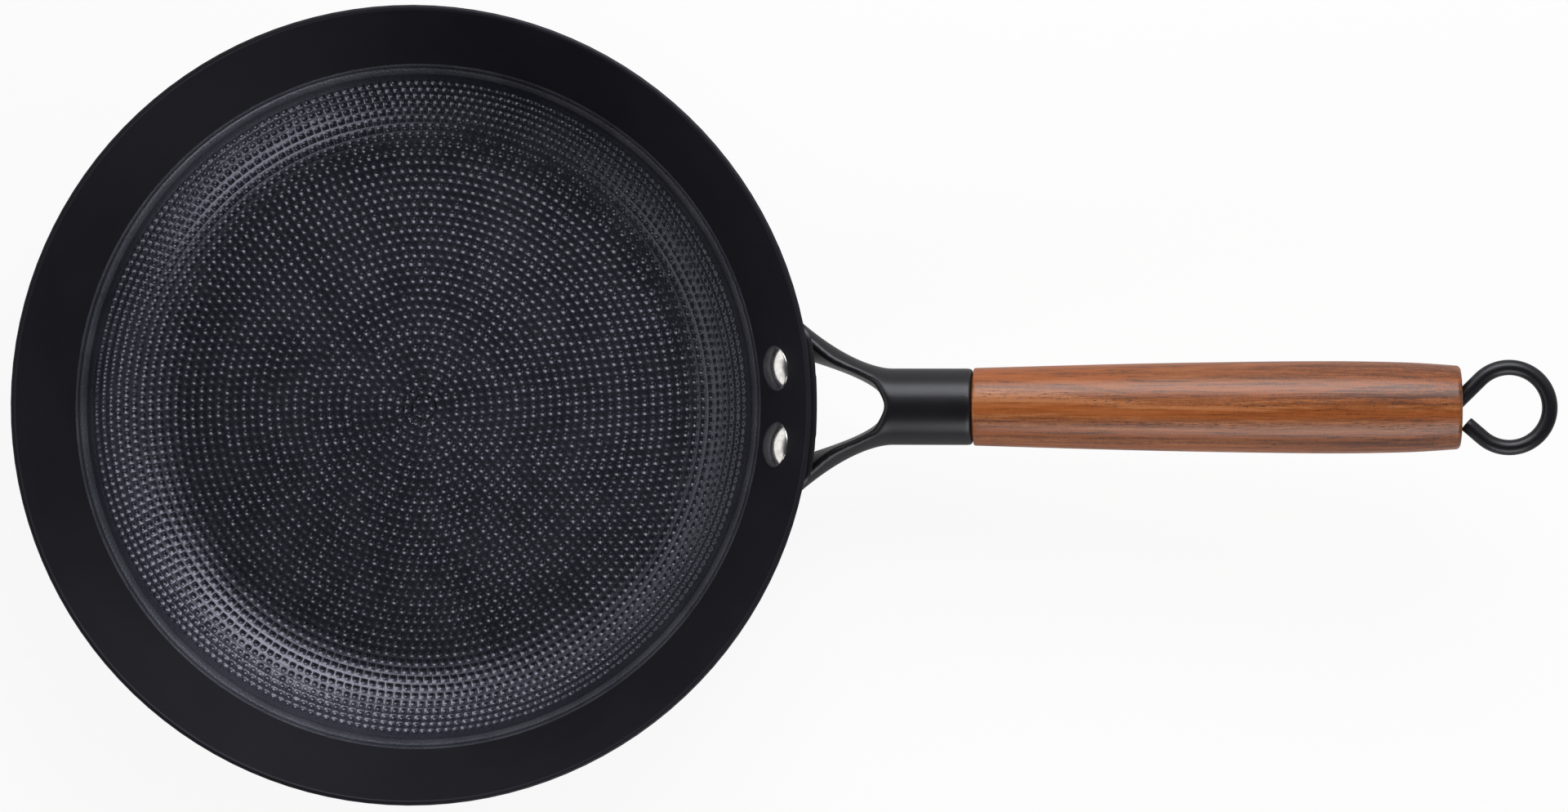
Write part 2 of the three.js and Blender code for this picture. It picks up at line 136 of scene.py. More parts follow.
class Graph:
    """The nodes of one material or of the world."""

    def __init__(self, owner: bpy.types.Material | bpy.types.World) -> None:
        """Starts from an empty tree.

        Args:
            owner: What the nodes belong to.
        """
        owner.use_nodes = True
        self.tree = owner.node_tree
        self.tree.nodes.clear()

    def node(
        self,
        kind: str,
        settings: Mapping[str, Any] | None = None,
        sockets: Mapping[str | int, Any] | None = None,
    ) -> bpy.types.Node:
        """Adds a node.

        Args:
            kind: The node's type.
            settings: What is set on the node itself, first.
            sockets: Values or links of its inputs, by name, identifier or number.

        Returns:
            The node.
        """
        node = self.tree.nodes.new(kind)
        for name, value in (settings or {}).items():
            setattr(node, name, value)
        for key, value in (sockets or {}).items():
            socket = node.inputs[key] if isinstance(key, int) else self._input(node, key)
            if isinstance(value, Signal):
                self.tree.links.new(value.socket, socket)
            else:
                socket.default_value = value
        return node

    @staticmethod
    def _input(node: bpy.types.Node, key: str) -> bpy.types.NodeSocket:
        """Finds an input by its identifier, or else by its name."""
        return next(s for s in node.inputs if key in (s.identifier, s.name))

    def take(
        self,
        kind: str,
        settings: Mapping[str, Any] | None = None,
        sockets: Mapping[str | int, Any] | None = None,
        output: str | int = 0,
    ) -> Signal:
        """Adds a node and takes one of its outputs.

        Args:
            kind: The node's type.
            settings: What is set on the node itself, first.
            sockets: Values or links of its inputs.
            output: The output's identifier or number.

        Returns:
            The output as a signal.
        """
        node = self.node(kind, settings, sockets)
        if isinstance(output, int):
            return Signal(self, node.outputs[output])
        return Signal(self, next(s for s in node.outputs if output in (s.identifier, s.name)))

    def place(self) -> Signal:
        """The place on the piece, in millimetres."""
        point = self.take("ShaderNodeTexCoord", output="Object")
        return self.stretched(point, (1 / MM, 1 / MM, 1 / MM))

    def along(self, root: Sequence[float], rise: float) -> Signal:
        """The place along and across a line that leaves a root and rises by some degrees, in millimetres."""
        sockets = {"Vector": self.place(), "Location": root, "Rotation": (0.0, -math.radians(rise), 0.0)}
        return self.take("ShaderNodeMapping", {"vector_type": "TEXTURE"}, sockets)

    def stretched(self, vector: Signal, factors: Sequence[float]) -> Signal:
        """A vector with each of its parts multiplied."""
        return self.take("ShaderNodeVectorMath", {"operation": "MULTIPLY"}, {0: vector, 1: factors})

    def parts(self, vector: Signal) -> tuple[Signal, Signal, Signal]:
        """The three parts of a vector."""
        node = self.node("ShaderNodeSeparateXYZ", sockets={0: vector})
        return tuple(Signal(self, s) for s in node.outputs)

    def point(self, x: Operand, y: Operand, z: Operand) -> Signal:
        """A vector from three values."""
        return self.take("ShaderNodeCombineXYZ", sockets={0: x, 1: y, 2: z})

    def noise(self, vector: Signal, scale: float, detail: float = 3.0, roughness: float = 0.5) -> Signal:
        """Smooth noise from 0 to 1, with a scale in features per unit and finer layers on top."""
        sockets = {"Vector": vector, "Scale": scale, "Detail": detail, "Roughness": roughness}
        return self.take("ShaderNodeTexNoise", sockets=sockets)

    def drawn(
        self, vector: Signal, along: float, across: float, detail: float = 3.0, roughness: float = 0.5
    ) -> Signal:
        """Noise that is drawn out along X or across it.

        Args:
            vector: Where it is read.
            along: Features per unit along X.
            across: Features per unit across it.
            detail: How many finer layers are added.
            roughness: How strong the finer layers are.

        Returns:
            The noise.
        """
        return self.noise(self.stretched(vector, (along, across, across)), 1.0, detail, roughness)

    def span(self, value: Signal, low: float, high: float) -> Signal:
        """A smooth step from 0 to 1, between a low and a high value."""
        sockets = {"Value": value, "From Min": low, "From Max": high}
        return self.take("ShaderNodeMapRange", {"interpolation_type": "SMOOTHSTEP"}, sockets)

    def blend(self, factor: Operand, first: Signal | Colour, second: Signal | Colour) -> Signal:
        """A mix of two colours.

        Args:
            factor: The share of the second.
            first: The colour at 0.
            second: The colour at 1.

        Returns:
            The mixed colour.
        """
        sockets = {"Factor_Float": factor, "A_Color": first, "B_Color": second}
        return self.take("ShaderNodeMix", {"data_type": "RGBA"}, sockets, "Result_Color")

    def relief(self, height: Signal, depth: float) -> Signal:
        """A normal from a height between 0 and 1 that stands for a depth in millimetres."""
        sockets = {"Strength": 1.0, "Distance": depth * MM, "Height": height}
        return self.take("ShaderNodeBump", sockets=sockets)


# Finishes


@dataclass(frozen=True)
class Finish:
    """What every finish has.

    Attributes:
        name: Its name in the scene.
        slot: The record's material slot.
        colour: Its main colour.
        roughness: Its mean roughness.
        index: Its index of refraction, which says how much it shines.
        tint: The colour of its shine.
        metallic: 1 for bare metal, and 0 for a skin of oil, paint or wood.
    """

    name: str
    slot: str
    colour: Colour
    roughness: float
    index: float = 1.5
    tint: Colour = (1.0, 1.0, 1.0, 1.0)
    metallic: float = 0.0

    def fixed(self) -> dict[str, Any]:
        """Sockets of the shader that are the same all over."""
        return {"IOR": self.index, "Specular Tint": self.tint, "Metallic": self.metallic}

    def maps(self, graph: Graph) -> dict[str, Signal]:
        """Sockets of the shader that change over the surface."""
        raise NotImplementedError

    @cache
    def material(self) -> bpy.types.Material:
        """Makes the finish as a node material, once.

        Returns:
            The material.
        """
        material = bpy.data.materials.new(self.name)
        graph = Graph(material)
        sockets = {**self.fixed(), **self.maps(graph)}
        shader = graph.take("ShaderNodeBsdfPrincipled", sockets=sockets)
        graph.node("ShaderNodeOutputMaterial", sockets={"Surface": shader})
        return material


@dataclass(frozen=True)
class DimpledIron(Finish):
    """Black iron of the cooking surface, with a fine grain and a few pale specks.

    Attributes:
        cloud: The paler colour of its soft clouds.
        speck: The colour of its specks.
        grit: How deep its grain is, in millimetres.
    """

    name: str = "dimpled_iron"
    slot: str = "black_iron"
    colour: Colour = (0.0082, 0.0084, 0.0132, 1.0)
    roughness: float = 0.28
    index: float = 1.8
    tint: Colour = (0.8, 0.83, 1.0, 1.0)
    cloud: Colour = (0.0125, 0.0128, 0.0185, 1.0)
    speck: Colour = (0.05, 0.05, 0.06, 1.0)
    grit: float = 0.07

    def maps(self, graph: Graph) -> dict[str, Signal]:
        """Clouds, specks and grain.

        Args:
            graph: Where the nodes go.

        Returns:
            The shader's sockets that change over the surface.
        """
        place = graph.place()
        grain = graph.noise(place, 1.2, roughness=0.6)
        cloud = graph.noise(place, 0.05)
        speck = graph.span(graph.noise(place, 1.3, detail=2.0), 0.73, 0.8)
        colour = graph.blend(graph.span(cloud, 0.35, 0.65), self.colour, self.cloud)
        return {
            "Base Color": graph.blend(speck * 0.6, colour, self.speck),
            "Roughness": self.roughness + grain.swing(0.3) + cloud.swing(0.12),
            "Normal": graph.relief(grain, self.grit),
        }


@dataclass(frozen=True)
class PlainIron(Finish):
    """Smooth matte iron of the upper band, the lip and the outside, with faint marks of the spinning.

    Attributes:
        mark: The paler colour of the marks.
        grit: How deep its grain is, in millimetres.
    """

    name: str = "plain_iron"
    slot: str = "black_iron"
    colour: Colour = (0.0055, 0.0054, 0.0077, 1.0)
    roughness: float = 0.5
    index: float = 1.4
    tint: Colour = (0.84, 0.84, 1.0, 1.0)
    mark: Colour = (0.0075, 0.0073, 0.01, 1.0)
    grit: float = 0.012

    def maps(self, graph: Graph) -> dict[str, Signal]:
        """Rings of the spinning, clouds and a fine grain.

        Args:
            graph: Where the nodes go.

        Returns:
            The shader's sockets that change over the surface.
        """
        place = graph.place()
        x, y, z = graph.parts(place)
        radius = (x * x + y * y) ** 0.5
        rings = graph.noise(graph.point(radius, z, 0.0), 1.6)
        grain = graph.noise(place, 4.5, roughness=0.6)
        cloud = graph.noise(place, 0.04)
        marks = graph.span(rings * 0.4 + cloud * 0.6, 0.35, 0.7)
        return {
            "Base Color": graph.blend(marks, self.colour, self.mark),
            "Roughness": self.roughness + rings.swing(0.1) + cloud.swing(0.1),
            "Normal": graph.relief(grain * 0.7 + rings * 0.3, self.grit),
        }


@dataclass(frozen=True)
class SatinPaint(Finish):
    """Black satin paint, with a slight orange peel and dust.

    Attributes:
        dust: The paler colour of the dust.
        dimple: How deep the peel is, in millimetres.
    """

    colour: Colour = (0.0052, 0.0052, 0.0066, 1.0)
    roughness: float = 0.34
    index: float = 1.47
    tint: Colour = (0.93, 0.94, 1.0, 1.0)
    dust: Colour = (0.02, 0.02, 0.021, 1.0)
    dimple: float = 0.012

    def maps(self, graph: Graph) -> dict[str, Signal]:
        """Peel, clouds and dust.

        Args:
            graph: Where the nodes go.

        Returns:
            The shader's sockets that change over the surface.
        """
        place = graph.place()
        peel = graph.noise(place, 1.5)
        cloud = graph.noise(place, 0.08)
        dust = graph.span(graph.noise(place, 2.1, detail=2.0), 0.74, 0.8)
        return {
            "Base Color": graph.blend(dust * 0.4 + cloud * 0.15, self.colour, self.dust),
            "Roughness": self.roughness + peel.swing(0.1) + cloud.swing(0.08),
            "Normal": graph.relief(peel, self.dimple),
        }


@dataclass(frozen=True)
class BareSteel(Finish):
    """Bright steel with fine scratches.

    Attributes:
        tarnish: The duller colour of its clouds.
        scratch: How deep its scratches are, in millimetres.
    """

    colour: Colour = (0.78, 0.765, 0.745, 1.0)
    roughness: float = 0.15
    metallic: float = 1.0
    tarnish: Colour = (0.6, 0.585, 0.565, 1.0)
    scratch: float = 0.003

    def maps(self, graph: Graph) -> dict[str, Signal]:
        """Clouds and scratches that run one way.

        Args:
            graph: Where the nodes go.

        Returns:
            The shader's sockets that change over the surface.
        """
        place = graph.place()
        scratches = graph.drawn(place, 0.35, 5.0, roughness=0.6)
        cloud = graph.noise(place, 0.35)
        return {
            "Base Color": graph.blend(graph.span(cloud, 0.4, 0.75), self.colour, self.tarnish),
            "Roughness": self.roughness + scratches.swing(0.14) + cloud.swing(0.08),
            "Normal": graph.relief(scratches, self.scratch),
        }


@dataclass(frozen=True)
class OiledWood(Finish):
    """Brown wood with growth rings, long fibres, rows of short dark pores and fine flecks, along one line.

    Attributes:
        root: Where the line starts, in millimetres.
        rise: Degrees that it rises from level.
        dark: The colour of the dark streaks.
        pale: The colour of the pale streaks.
        late: The redder colour of the late wood.
        pore: The colour of the pores.
        pith: Where the middle of the rings lies, across and above the axis, in millimetres.
        ring: Distance between the rings, in millimetres.
        darkening: Where along the line the wood begins to darken, and where it is darkest.
        darker: How much darker it is there.
        lighter: How much lighter all of it is than its middle tone.
        grit: How deep its fibres and pores are, in millimetres.
    """

    name: str = "oiled_wood"
    slot: str = "grip_wood"
    colour: Colour = (0.284, 0.085, 0.023, 1.0)
    roughness: float = 0.31
    dark: Colour = (0.105, 0.031, 0.0125, 1.0)
    pale: Colour = (0.455, 0.172, 0.064, 1.0)
    late: Colour = (0.354, 0.089, 0.0155, 1.0)
    pore: Colour = (0.026, 0.0095, 0.006, 1.0)
    root: tuple[float, float, float] = (0.0, 0.0, 0.0)
    rise: float = 0.0
    pith: tuple[float, float] = (-41.2, -20.0)
    ring: float = 6.97
    darkening: tuple[float, float] = (120.0, 230.0)
    darker: float = 0.12
    lighter: float = 0.04
    grit: float = 0.05

    def maps(self, graph: Graph) -> dict[str, Signal]:
        """Rings, fibres, pores and flecks.

        Args:
            graph: Where the nodes go.

        Returns:
            The shader's sockets that change over the surface.
        """
        place = graph.along(self.root, self.rise)
        x, y, z = graph.parts(place)
        sway = graph.drawn(place, 0.014, 0.05, detail=2.0)
        across, above = y - self.pith[0], z - self.pith[1]
        depth = (across**2.0 + above**2.0) ** 0.5 + sway.swing(6.0)
        phase = depth * (2 * math.pi / self.ring)
        early = phase.math("COSINE", phase)
        bands = graph.noise(graph.point(depth, x * 0.006, 0.0), 0.34, roughness=0.6)
        streaks = graph.drawn(place, 0.022, 0.9, 4.0, 0.62)
        fibres = graph.drawn(place, 0.13, 3.8, 4.0, 0.65)
        flecks = graph.drawn(place, 2.0, 0.6, 3.0, 0.65)
        patches = graph.drawn(place, 0.03, 0.12, detail=2.0)
        crowd = graph.span(early + patches.swing(2.4), 0.1, 1.0)
        pores = graph.span(graph.drawn(place, 0.42, 3.6, detail=2.0), 0.575, 0.65)
        pores = pores * (0.05 + crowd * 0.95)
        tone = 0.5 + bands.swing(1.1) + streaks.swing(1.15) + fibres.swing(0.9) + flecks.swing(0.35)
        tone = tone - graph.span(x, *self.darkening) * self.darker + self.lighter
        colour = graph.blend(graph.span(tone, 0.2, 0.5), self.dark, self.colour)
        colour = graph.blend(graph.span(tone, 0.5, 0.8), colour, self.pale)
        late = graph.span(early, 0.3, -0.9) * graph.span(tone, 0.25, 0.5) * 0.6
        colour = graph.blend(late, colour, self.late)
        return {
            "Base Color": graph.blend(pores * 0.85, colour, self.pore),
            "Roughness": self.roughness + fibres.swing(0.22) + pores * 0.2,
            "Normal": graph.relief(fibres * 0.45 + flecks * 0.15 + (1 - pores) * 0.4, self.grit),
        }


# Meshes


def circle(count: int) -> np.ndarray:
    """Angles that are evenly spaced all the way round, from 0."""
    return np.arange(count) * 2 * math.pi / count


def placed(name: str, data: bpy.types.ID) -> bpy.types.Object:
    """Makes an object and puts it in the scene.

    Args:
        name: Its name.
        data: Its mesh, lamp or camera.

    Returns:
        The object.
    """
    made = bpy.data.objects.new(name, data)
    bpy.context.scene.collection.objects.link(made)
    return made


@dataclass
class Draft:
    """Points and faces of a piece, in millimetres, before they become a mesh.

    Attributes:
        points: Blocks of points.
        faces: Blocks of faces with equally many corners.
        maps: The bake map's places of each block's corners, or None.
        finishes: The finish number of each block.
        size: How many points there are.
    """

    points: list[np.ndarray] = field(default_factory=list)
    faces: list[np.ndarray] = field(default_factory=list)
    maps: list[np.ndarray | None] = field(default_factory=list)
    finishes: list[int] = field(default_factory=list)
    size: int = 0

    def add_points(self, points: np.ndarray) -> np.ndarray:
        """Adds points.

        Args:
            points: Any block whose last axis is x, y, z.

        Returns:
            Their numbers, in the block's shape.
        """
        shape = points.shape[:-1]
        flat = points.reshape(-1, 3)
        numbers = np.arange(self.size, self.size + len(flat)).reshape(shape)
        self.points.append(flat)
        self.size += len(flat)
        return numbers

    def add_faces(self, faces: np.ndarray, places: np.ndarray | None = None, finish: int = 0) -> None:
        """Adds a block of faces.

        Args:
            faces: The numbers of their corners, equally many for each.
            places: The bake map's places of the corners.
            finish: The number of their finish.
        """
        self.faces.append(faces)
        self.maps.append(places)
        self.finishes.append(finish)

    def object(self, name: str, matrix: Matrix | None = None) -> bpy.types.Object:
        """Makes the mesh object.

        Args:
            name: The piece's name.
            matrix: Where the piece's own axes lie.

        Returns:
            The object, shaded smooth.
        """
        mesh = bpy.data.meshes.new(name)
        points = np.concatenate(self.points) * MM
        faces = [tuple(face) for block in self.faces for face in block.tolist()]
        mesh.from_pydata(points.tolist(), [], faces)
        mesh.polygons.foreach_set("use_smooth", np.ones(len(faces), bool))
        numbers = np.concatenate([np.full(len(b), n) for b, n in zip(self.faces, self.finishes)])
        mesh.polygons.foreach_set("material_index", numbers.astype(np.int32))
        if all(places is not None for places in self.maps):
            corners = np.concatenate([places.reshape(-1, 2) for places in self.maps])
            mesh.uv_layers.new(name=BAKE_MAP).data.foreach_set("uv", corners.astype(np.float32).ravel())
        mesh.update()
        if matrix is not None:
            mesh.transform(matrix)
        return placed(name, mesh)


def grid_places(rows: Sequence[float], columns: int) -> np.ndarray:
    """Bake map places of a skin of quads, wound once round.

    Args:
        rows: The places of its rows of points, from 0 to 1.
        columns: How many quads go round.

    Returns:
        A block of four corners for each quad, row by row.
    """
    low, high = np.asarray(rows[:-1]), np.asarray(rows[1:])
    left = np.arange(columns) / columns
    right = left + 1 / columns
    across = np.stack([left, right, right, left], axis=-1)[None]
    up = np.stack([low, low, high, high], axis=-1)[:, None]
    return np.stack(np.broadcast_arrays(across, up), axis=-1).reshape(-1, 4, 2)


def skin(draft: Draft, rings: np.ndarray) -> np.ndarray:
    """Joins rings of equally many points with quads.

    Args:
        draft: Where the points and faces go.
        rings: A block of rings, points and x, y, z.

    Returns:
        The numbers of the points, ring by ring.
    """
    numbers = draft.add_points(rings)
    ahead = np.roll(numbers, -1, axis=1)
    quads = np.stack([numbers[:-1], ahead[:-1], ahead[1:], numbers[1:]], axis=-1).reshape(-1, 4)
    steps = np.linalg.norm(np.diff(rings, axis=0), axis=2).mean(1)
    reach = np.concatenate([[0.0], np.cumsum(steps)])
    draft.add_faces(quads, grid_places(reach / reach[-1], rings.shape[1]))
    return numbers


def cap(draft: Draft, numbers: np.ndarray) -> None:
    """Closes both ends of a skin with flat faces.

    Args:
        draft: Where the faces go.
        numbers: The numbers of the skin's points, ring by ring.
    """
    for ring, step, row in ((numbers[0], -1, 0.0), (numbers[-1], 1, 1.0)):
        draft.add_faces(ring[None, ::step], np.full((1, len(ring), 2), (0.5, row)))


def turned(profile: Sequence[tuple[float, float]], sides: int) -> np.ndarray:
    """Rings of a turned piece about X.

    Args:
        profile: Pairs of radius and distance along X.
        sides: How many points go round.

    Returns:
        A block of rings, points and x, y, z.
    """
    radius, along = np.array(profile, float).T
    angle = circle(sides)
    ring = np.stack([np.zeros(sides), np.cos(angle), np.sin(angle)], axis=-1)
    rings = ring[None] * radius[:, None, None]
    rings[..., 0] = along[:, None]
    return rings


def arc(
    x: float, y: float, radius: float, first: float, last: float, steps: int
) -> list[tuple[float, float]]:
    """Points of an arc, both ends included.

    Args:
        x: The middle's first part.
        y: The middle's second part.
        radius: The arc's radius.
        first: The angle that it starts at, in degrees.
        last: The angle that it ends at.
        steps: How many chords it has.

    Returns:
        The points as pairs.
    """
    angles = np.radians(np.linspace(first, last, steps + 1))
    return [(x + radius * math.cos(a), y + radius * math.sin(a)) for a in angles]


def most(first: np.ndarray, second: np.ndarray, radius: float) -> np.ndarray:
    """The larger of two distances, with a rounded edge where they meet.

    Args:
        first: The one.
        second: The other.
        radius: How wide the rounding is.

    Returns:
        The distance to what both solids share.
    """
    near = np.maximum(radius - np.abs(first - second), 0.0) / radius
    return np.maximum(first, second) + near**2 * radius / 4


def least(first: np.ndarray, second: np.ndarray, radius: float) -> np.ndarray:
    """The smaller of two distances, with a fillet where they meet.

    Args:
        first: The one.
        second: The other.
        radius: How wide the fillet is.

    Returns:
        The distance to both solids joined.
    """
    return -most(-first, -second, radius)


def eased(share: np.ndarray) -> np.ndarray:
    """A share from 0 to 1 that leaves and arrives gently."""
    return share * share * (3 - 2 * share)


@dataclass
class Lattice:
    """A block of evenly spaced points, on which a solid is a distance that is negative inside.

    Attributes:
        low: The block's lowest corner, in millimetres.
        high: Its highest corner.
        step: Distance between the points.
    """

    low: tuple[float, float, float]
    high: tuple[float, float, float]
    step: float

    def points(self) -> list[np.ndarray]:
        """The points' three coordinates, each as a block."""
        lines = [np.arange(a, b + self.step, self.step) for a, b in zip(self.low, self.high)]
        return np.meshgrid(*lines, indexing="ij")

    def distance(self, values: np.ndarray) -> np.ndarray:
        """Any measure that is zero on the surface, divided by its slope."""
        slope = np.sqrt(sum(part**2 for part in np.gradient(values, self.step)))
        return values / np.maximum(slope, 1e-6)

    def crossings(self, values: np.ndarray, axis: int) -> tuple[np.ndarray, np.ndarray]:
        """Where the surface cuts the lattice's lines along one axis.

        Args:
            values: Distances at the points.
            axis: The axis.

        Returns:
            Which lines are cut, and how far along, in steps.
        """
        ahead = np.moveaxis(values, axis, 0)
        first, second = ahead[:-1], ahead[1:]
        cut = (first < 0) != (second < 0)
        share = np.where(cut, first / np.where(cut, first - second, 1.0), 0.0)
        return np.moveaxis(cut, 0, axis), np.moveaxis(share, 0, axis)

    def draft(self, values: np.ndarray, smoothing: int) -> Draft:
        """Meshes the surface, one point in each cell that it passes.

        Args:
            values: Distances at the points.
            smoothing: How often each point moves to the middle of its neighbours.

        Returns:
            The surface's points and faces.
        """
        cells = tuple(n - 1 for n in values.shape)
        total, count = np.zeros((*cells, 3)), np.zeros(cells)
        corner = np.stack(np.meshgrid(*(np.arange(n) for n in values.shape), indexing="ij"), axis=-1)
        quads = []
        for axis in range(3):
            cut, share = self.crossings(values, axis)
            spot = corner[tuple(slice(0, n) for n in cut.shape)].astype(float)
            spot[..., axis] += share
            for a in (0, 1):
                for b in (0, 1):
                    shift = [0, 0, 0]
                    shift[(axis + 1) % 3], shift[(axis + 2) % 3] = a, b
                    window = tuple(slice(d, d + n) for d, n in zip(shift, cells))
                    count += cut[window]
                    total += np.where(cut[window][..., None], spot[window], 0.0)
            at = np.argwhere(cut)
            outwards = values[tuple(at.T)] < 0
            sides = np.zeros((2, 3), int)
            sides[0, (axis + 1) % 3], sides[1, (axis + 2) % 3] = 1, 1
            ring = np.stack([at - sides[0] - sides[1], at - sides[1], at, at - sides[0]], axis=1)
            quads.append(np.where(outwards[:, None, None], ring, ring[:, ::-1]))
        used = count > 0
        number = np.full(cells, -1)
        number[used] = np.arange(used.sum())
        faces = number[tuple(np.concatenate(quads).transpose(2, 0, 1))]
        places = total[used] / count[used][:, None]
        ends = np.concatenate([faces[:, [n, (n + 1) % 4]] for n in range(4)])
        around = np.bincount(ends[:, 0], minlength=len(places))[:, None]
        for _ in range(smoothing):
            beside = places[ends[:, 1]]
            sums = [np.bincount(ends[:, 0], beside[:, n], len(places)) for n in range(3)]
            places = (places + np.stack(sums, axis=-1) / around) / 2
        draft = Draft()
        draft.add_points(places * self.step + np.array(self.low))
        draft.add_faces(faces)
        return draft


def dress(
    piece: bpy.types.Object, finishes: Sequence[Finish], body: Body, node: str
) -> bpy.types.Object:
    """Gives a piece its finishes and its place on the frame.

    Args:
        piece: The piece.
        finishes: Its finishes, in the order of its faces' numbers.
        body: The body that it moves with.
        node: The solid that it stands for.

    Returns:
        The piece.
    """
    for finish in finishes:
        piece.data.materials.append(finish.material())
    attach(piece, body.value)
    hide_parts(node)
    LOG.info("%s: %d faces on %s", piece.name, len(piece.data.polygons), body.value)
    return piece


# Bowl


@dataclass
class Bowl:
    """The bowl: rows of round cups on the floor and corner, a ledge, a smooth band and a cut lip.

    Attributes:
        rim: Radius of the lip's outside.
        height: Height of the lip.
        inset: How far both stay inside the solid's.
        sheet: Thickness of the sheet.
        lean: Degrees of the wall up from level.
        corner: Radius of the corner at the middle of the sheet.
        ground: How far the cooking surface lies inside the middle of the sheet.
        pitch: Distance between the rows of cups, along the surface.
        rows: How many rows there are.
        growth: Cups that each row adds, and those that come on top.
        crowded: The row from which the cups sit closer.
        crowding: The same as the growth, from that row on.
        start: The angle that every row starts at, in degrees.
        cell: Share of the pitch from a row's middle to the border of its cells.
        cup: Radius of a cup.
        depth: Depth of a cup.
        waist: Shares of a cup's radius and depth at the ring between its edge and its bottom.
        uneven_cup: Share by which the cups' radii differ.
        uneven_depth: Share by which their depths differ.
        deepest: How many times that share the deepest cup is deeper.
        uneven_place: How far their places differ.
        uneven_bottom: How far their bottoms lie off the middle.
        stepped: The row from which the rows become steps.
        step: Half the height of a step.
        riser: Share of the pitch that a step's riser takes from each cell.
        narrowing: Share by which the steps narrow the cups.
        ledge: Distance from the last row, offset and zone of each ring of the ledge.
        band: Distance from the last row of each ring of the band.
        band_end: From the band's last ring to the top of the wall.
        lip: Distance in from the rim, down from the height, and zone of each ring of the lip.
        back: Distance down the outside of the wall of each of its rings.
        corner_rings: How many rings the outside of the corner has.
        base: How far in from the floor's edge the base's first ring is, and the radii of the others.
        sides: Around the plain parts.
        inside_disc: Middle and radius of the inside on the bake map.
        outside_disc: Middle and radius of the outside on it.
        seed: What the unevenness starts from.
    """

    rim: float = 139.95
    height: float = 49.95
    inset: float = 0.05
    sheet: float = 2.0
    lean: float = 58.0
    corner: float = 37.5
    ground: float = 0.85
    pitch: float = 3.085
    rows: int = 39
    growth: tuple[float, float] = (6.2, 0.3)
    crowded: int = 34
    crowding: tuple[float, float] = (7, -23)
    start: float = 5.73
    cell: float = 0.47
    cup: float = 1.36
    depth: float = 0.62
    waist: tuple[float, float] = (0.62, 0.4)
    uneven_cup: float = 0.015
    uneven_depth: float = 0.2
    deepest: float = 1.5
    uneven_place: float = 0.02
    uneven_bottom: float = 0.14
    stepped: int = 28
    step: float = 0.105
    riser: float = 0.05
    narrowing: float = 0.12
    ledge: tuple[tuple[float, float, Zone], ...] = (
        (0.5, 0.68, Zone.CUPS),
        (2.4, 0.66, Zone.CUPS),
        (2.9, 0.84, Zone.LEDGE),
        (3.5, 0.96, Zone.LEDGE),
        (4.4, 1.0, Zone.LEDGE),
        (5.3, 0.97, Zone.LEDGE),
        (6.0, 0.86, Zone.CUPS),
        (6.45, 0.68, Zone.CUPS),
        (6.95, 0.66, Zone.CUPS),
        (7.4, 0.95, Zone.LEDGE),
        (7.9, 1.06, Zone.LEDGE),
        (8.4, 1.04, Zone.LEDGE),
    )
    band: tuple[float, ...] = (8.9, 9.6, 13.0, 18.0, 24.0, 30.0)
    band_end: float = 0.9
    lip: tuple[tuple[float, float, Zone], ...] = (
        (1.87, 0.5, Zone.BAND),
        (1.65, 0.17, Zone.BAND),
        (1.3, 0.0, Zone.BAND),
        (0.65, 0.0, Zone.OUTSIDE),
        (0.25, 0.17, Zone.OUTSIDE),
        (0.0, 0.6, Zone.OUTSIDE),
        (0.02, 1.0, Zone.OUTSIDE),
    )
    back: tuple[float, ...] = (2.0, 8.0, 16.0, 24.0, 30.0)
    corner_rings: int = 10
    base: tuple[float, ...] = (3.0, 60.0, 30.0)
    sides: int = 124
    inside_disc: tuple[float, float, float] = (0.33, 0.67, 0.32)
    outside_disc: tuple[float, float, float] = (0.81, 0.19, 0.18)
    seed: int = 7

    def __post_init__(self) -> None:
        """Works out the sheet's line."""
        self.slope = math.radians(self.lean)
        self.corner_height = self.sheet / 2 + self.corner
        foot = self.corner_height - self.corner * math.cos(self.slope)
        lip_radius = self.rim + self.inset - self.sheet / 2
        lip_height = self.height + self.inset - self.sheet / 2
        self.wall_length = (lip_height - foot) / math.sin(self.slope)
        self.floor = lip_radius - self.corner * math.sin(self.slope) - self.wall_length * math.cos(self.slope)
        self.bend = self.corner - self.ground
        self.wall_start = self.floor + self.bend * self.slope
        self.last = self.pitch * (self.rows + 0.5)
        self.reach_in: list[np.ndarray] = []
        self.reach_out: list[np.ndarray] = []

    def on_sheet(self, reach: np.ndarray, offset: np.ndarray | float) -> tuple[np.ndarray, np.ndarray]:
        """A point of the sheet's section.

        Args:
            reach: Distance from the centre along the cooking surface.
            offset: Distance inwards from the middle of the sheet.

        Returns:
            Radius and height.
        """
        turn = np.clip((reach - self.floor) / self.bend, 0.0, self.slope)
        along = np.maximum(reach - self.wall_start, 0.0)
        arm = self.corner - offset
        radius = np.minimum(reach, self.floor) + arm * np.sin(turn) + along * math.cos(self.slope)
        height = self.corner_height - arm * np.cos(turn) + along * math.sin(self.slope)
        return radius, height

    def cups_in(self, row: int) -> int:
        """How many cups a row has."""
        each, more = self.growth if row < self.crowded else self.crowding
        return math.floor(each * row + more)

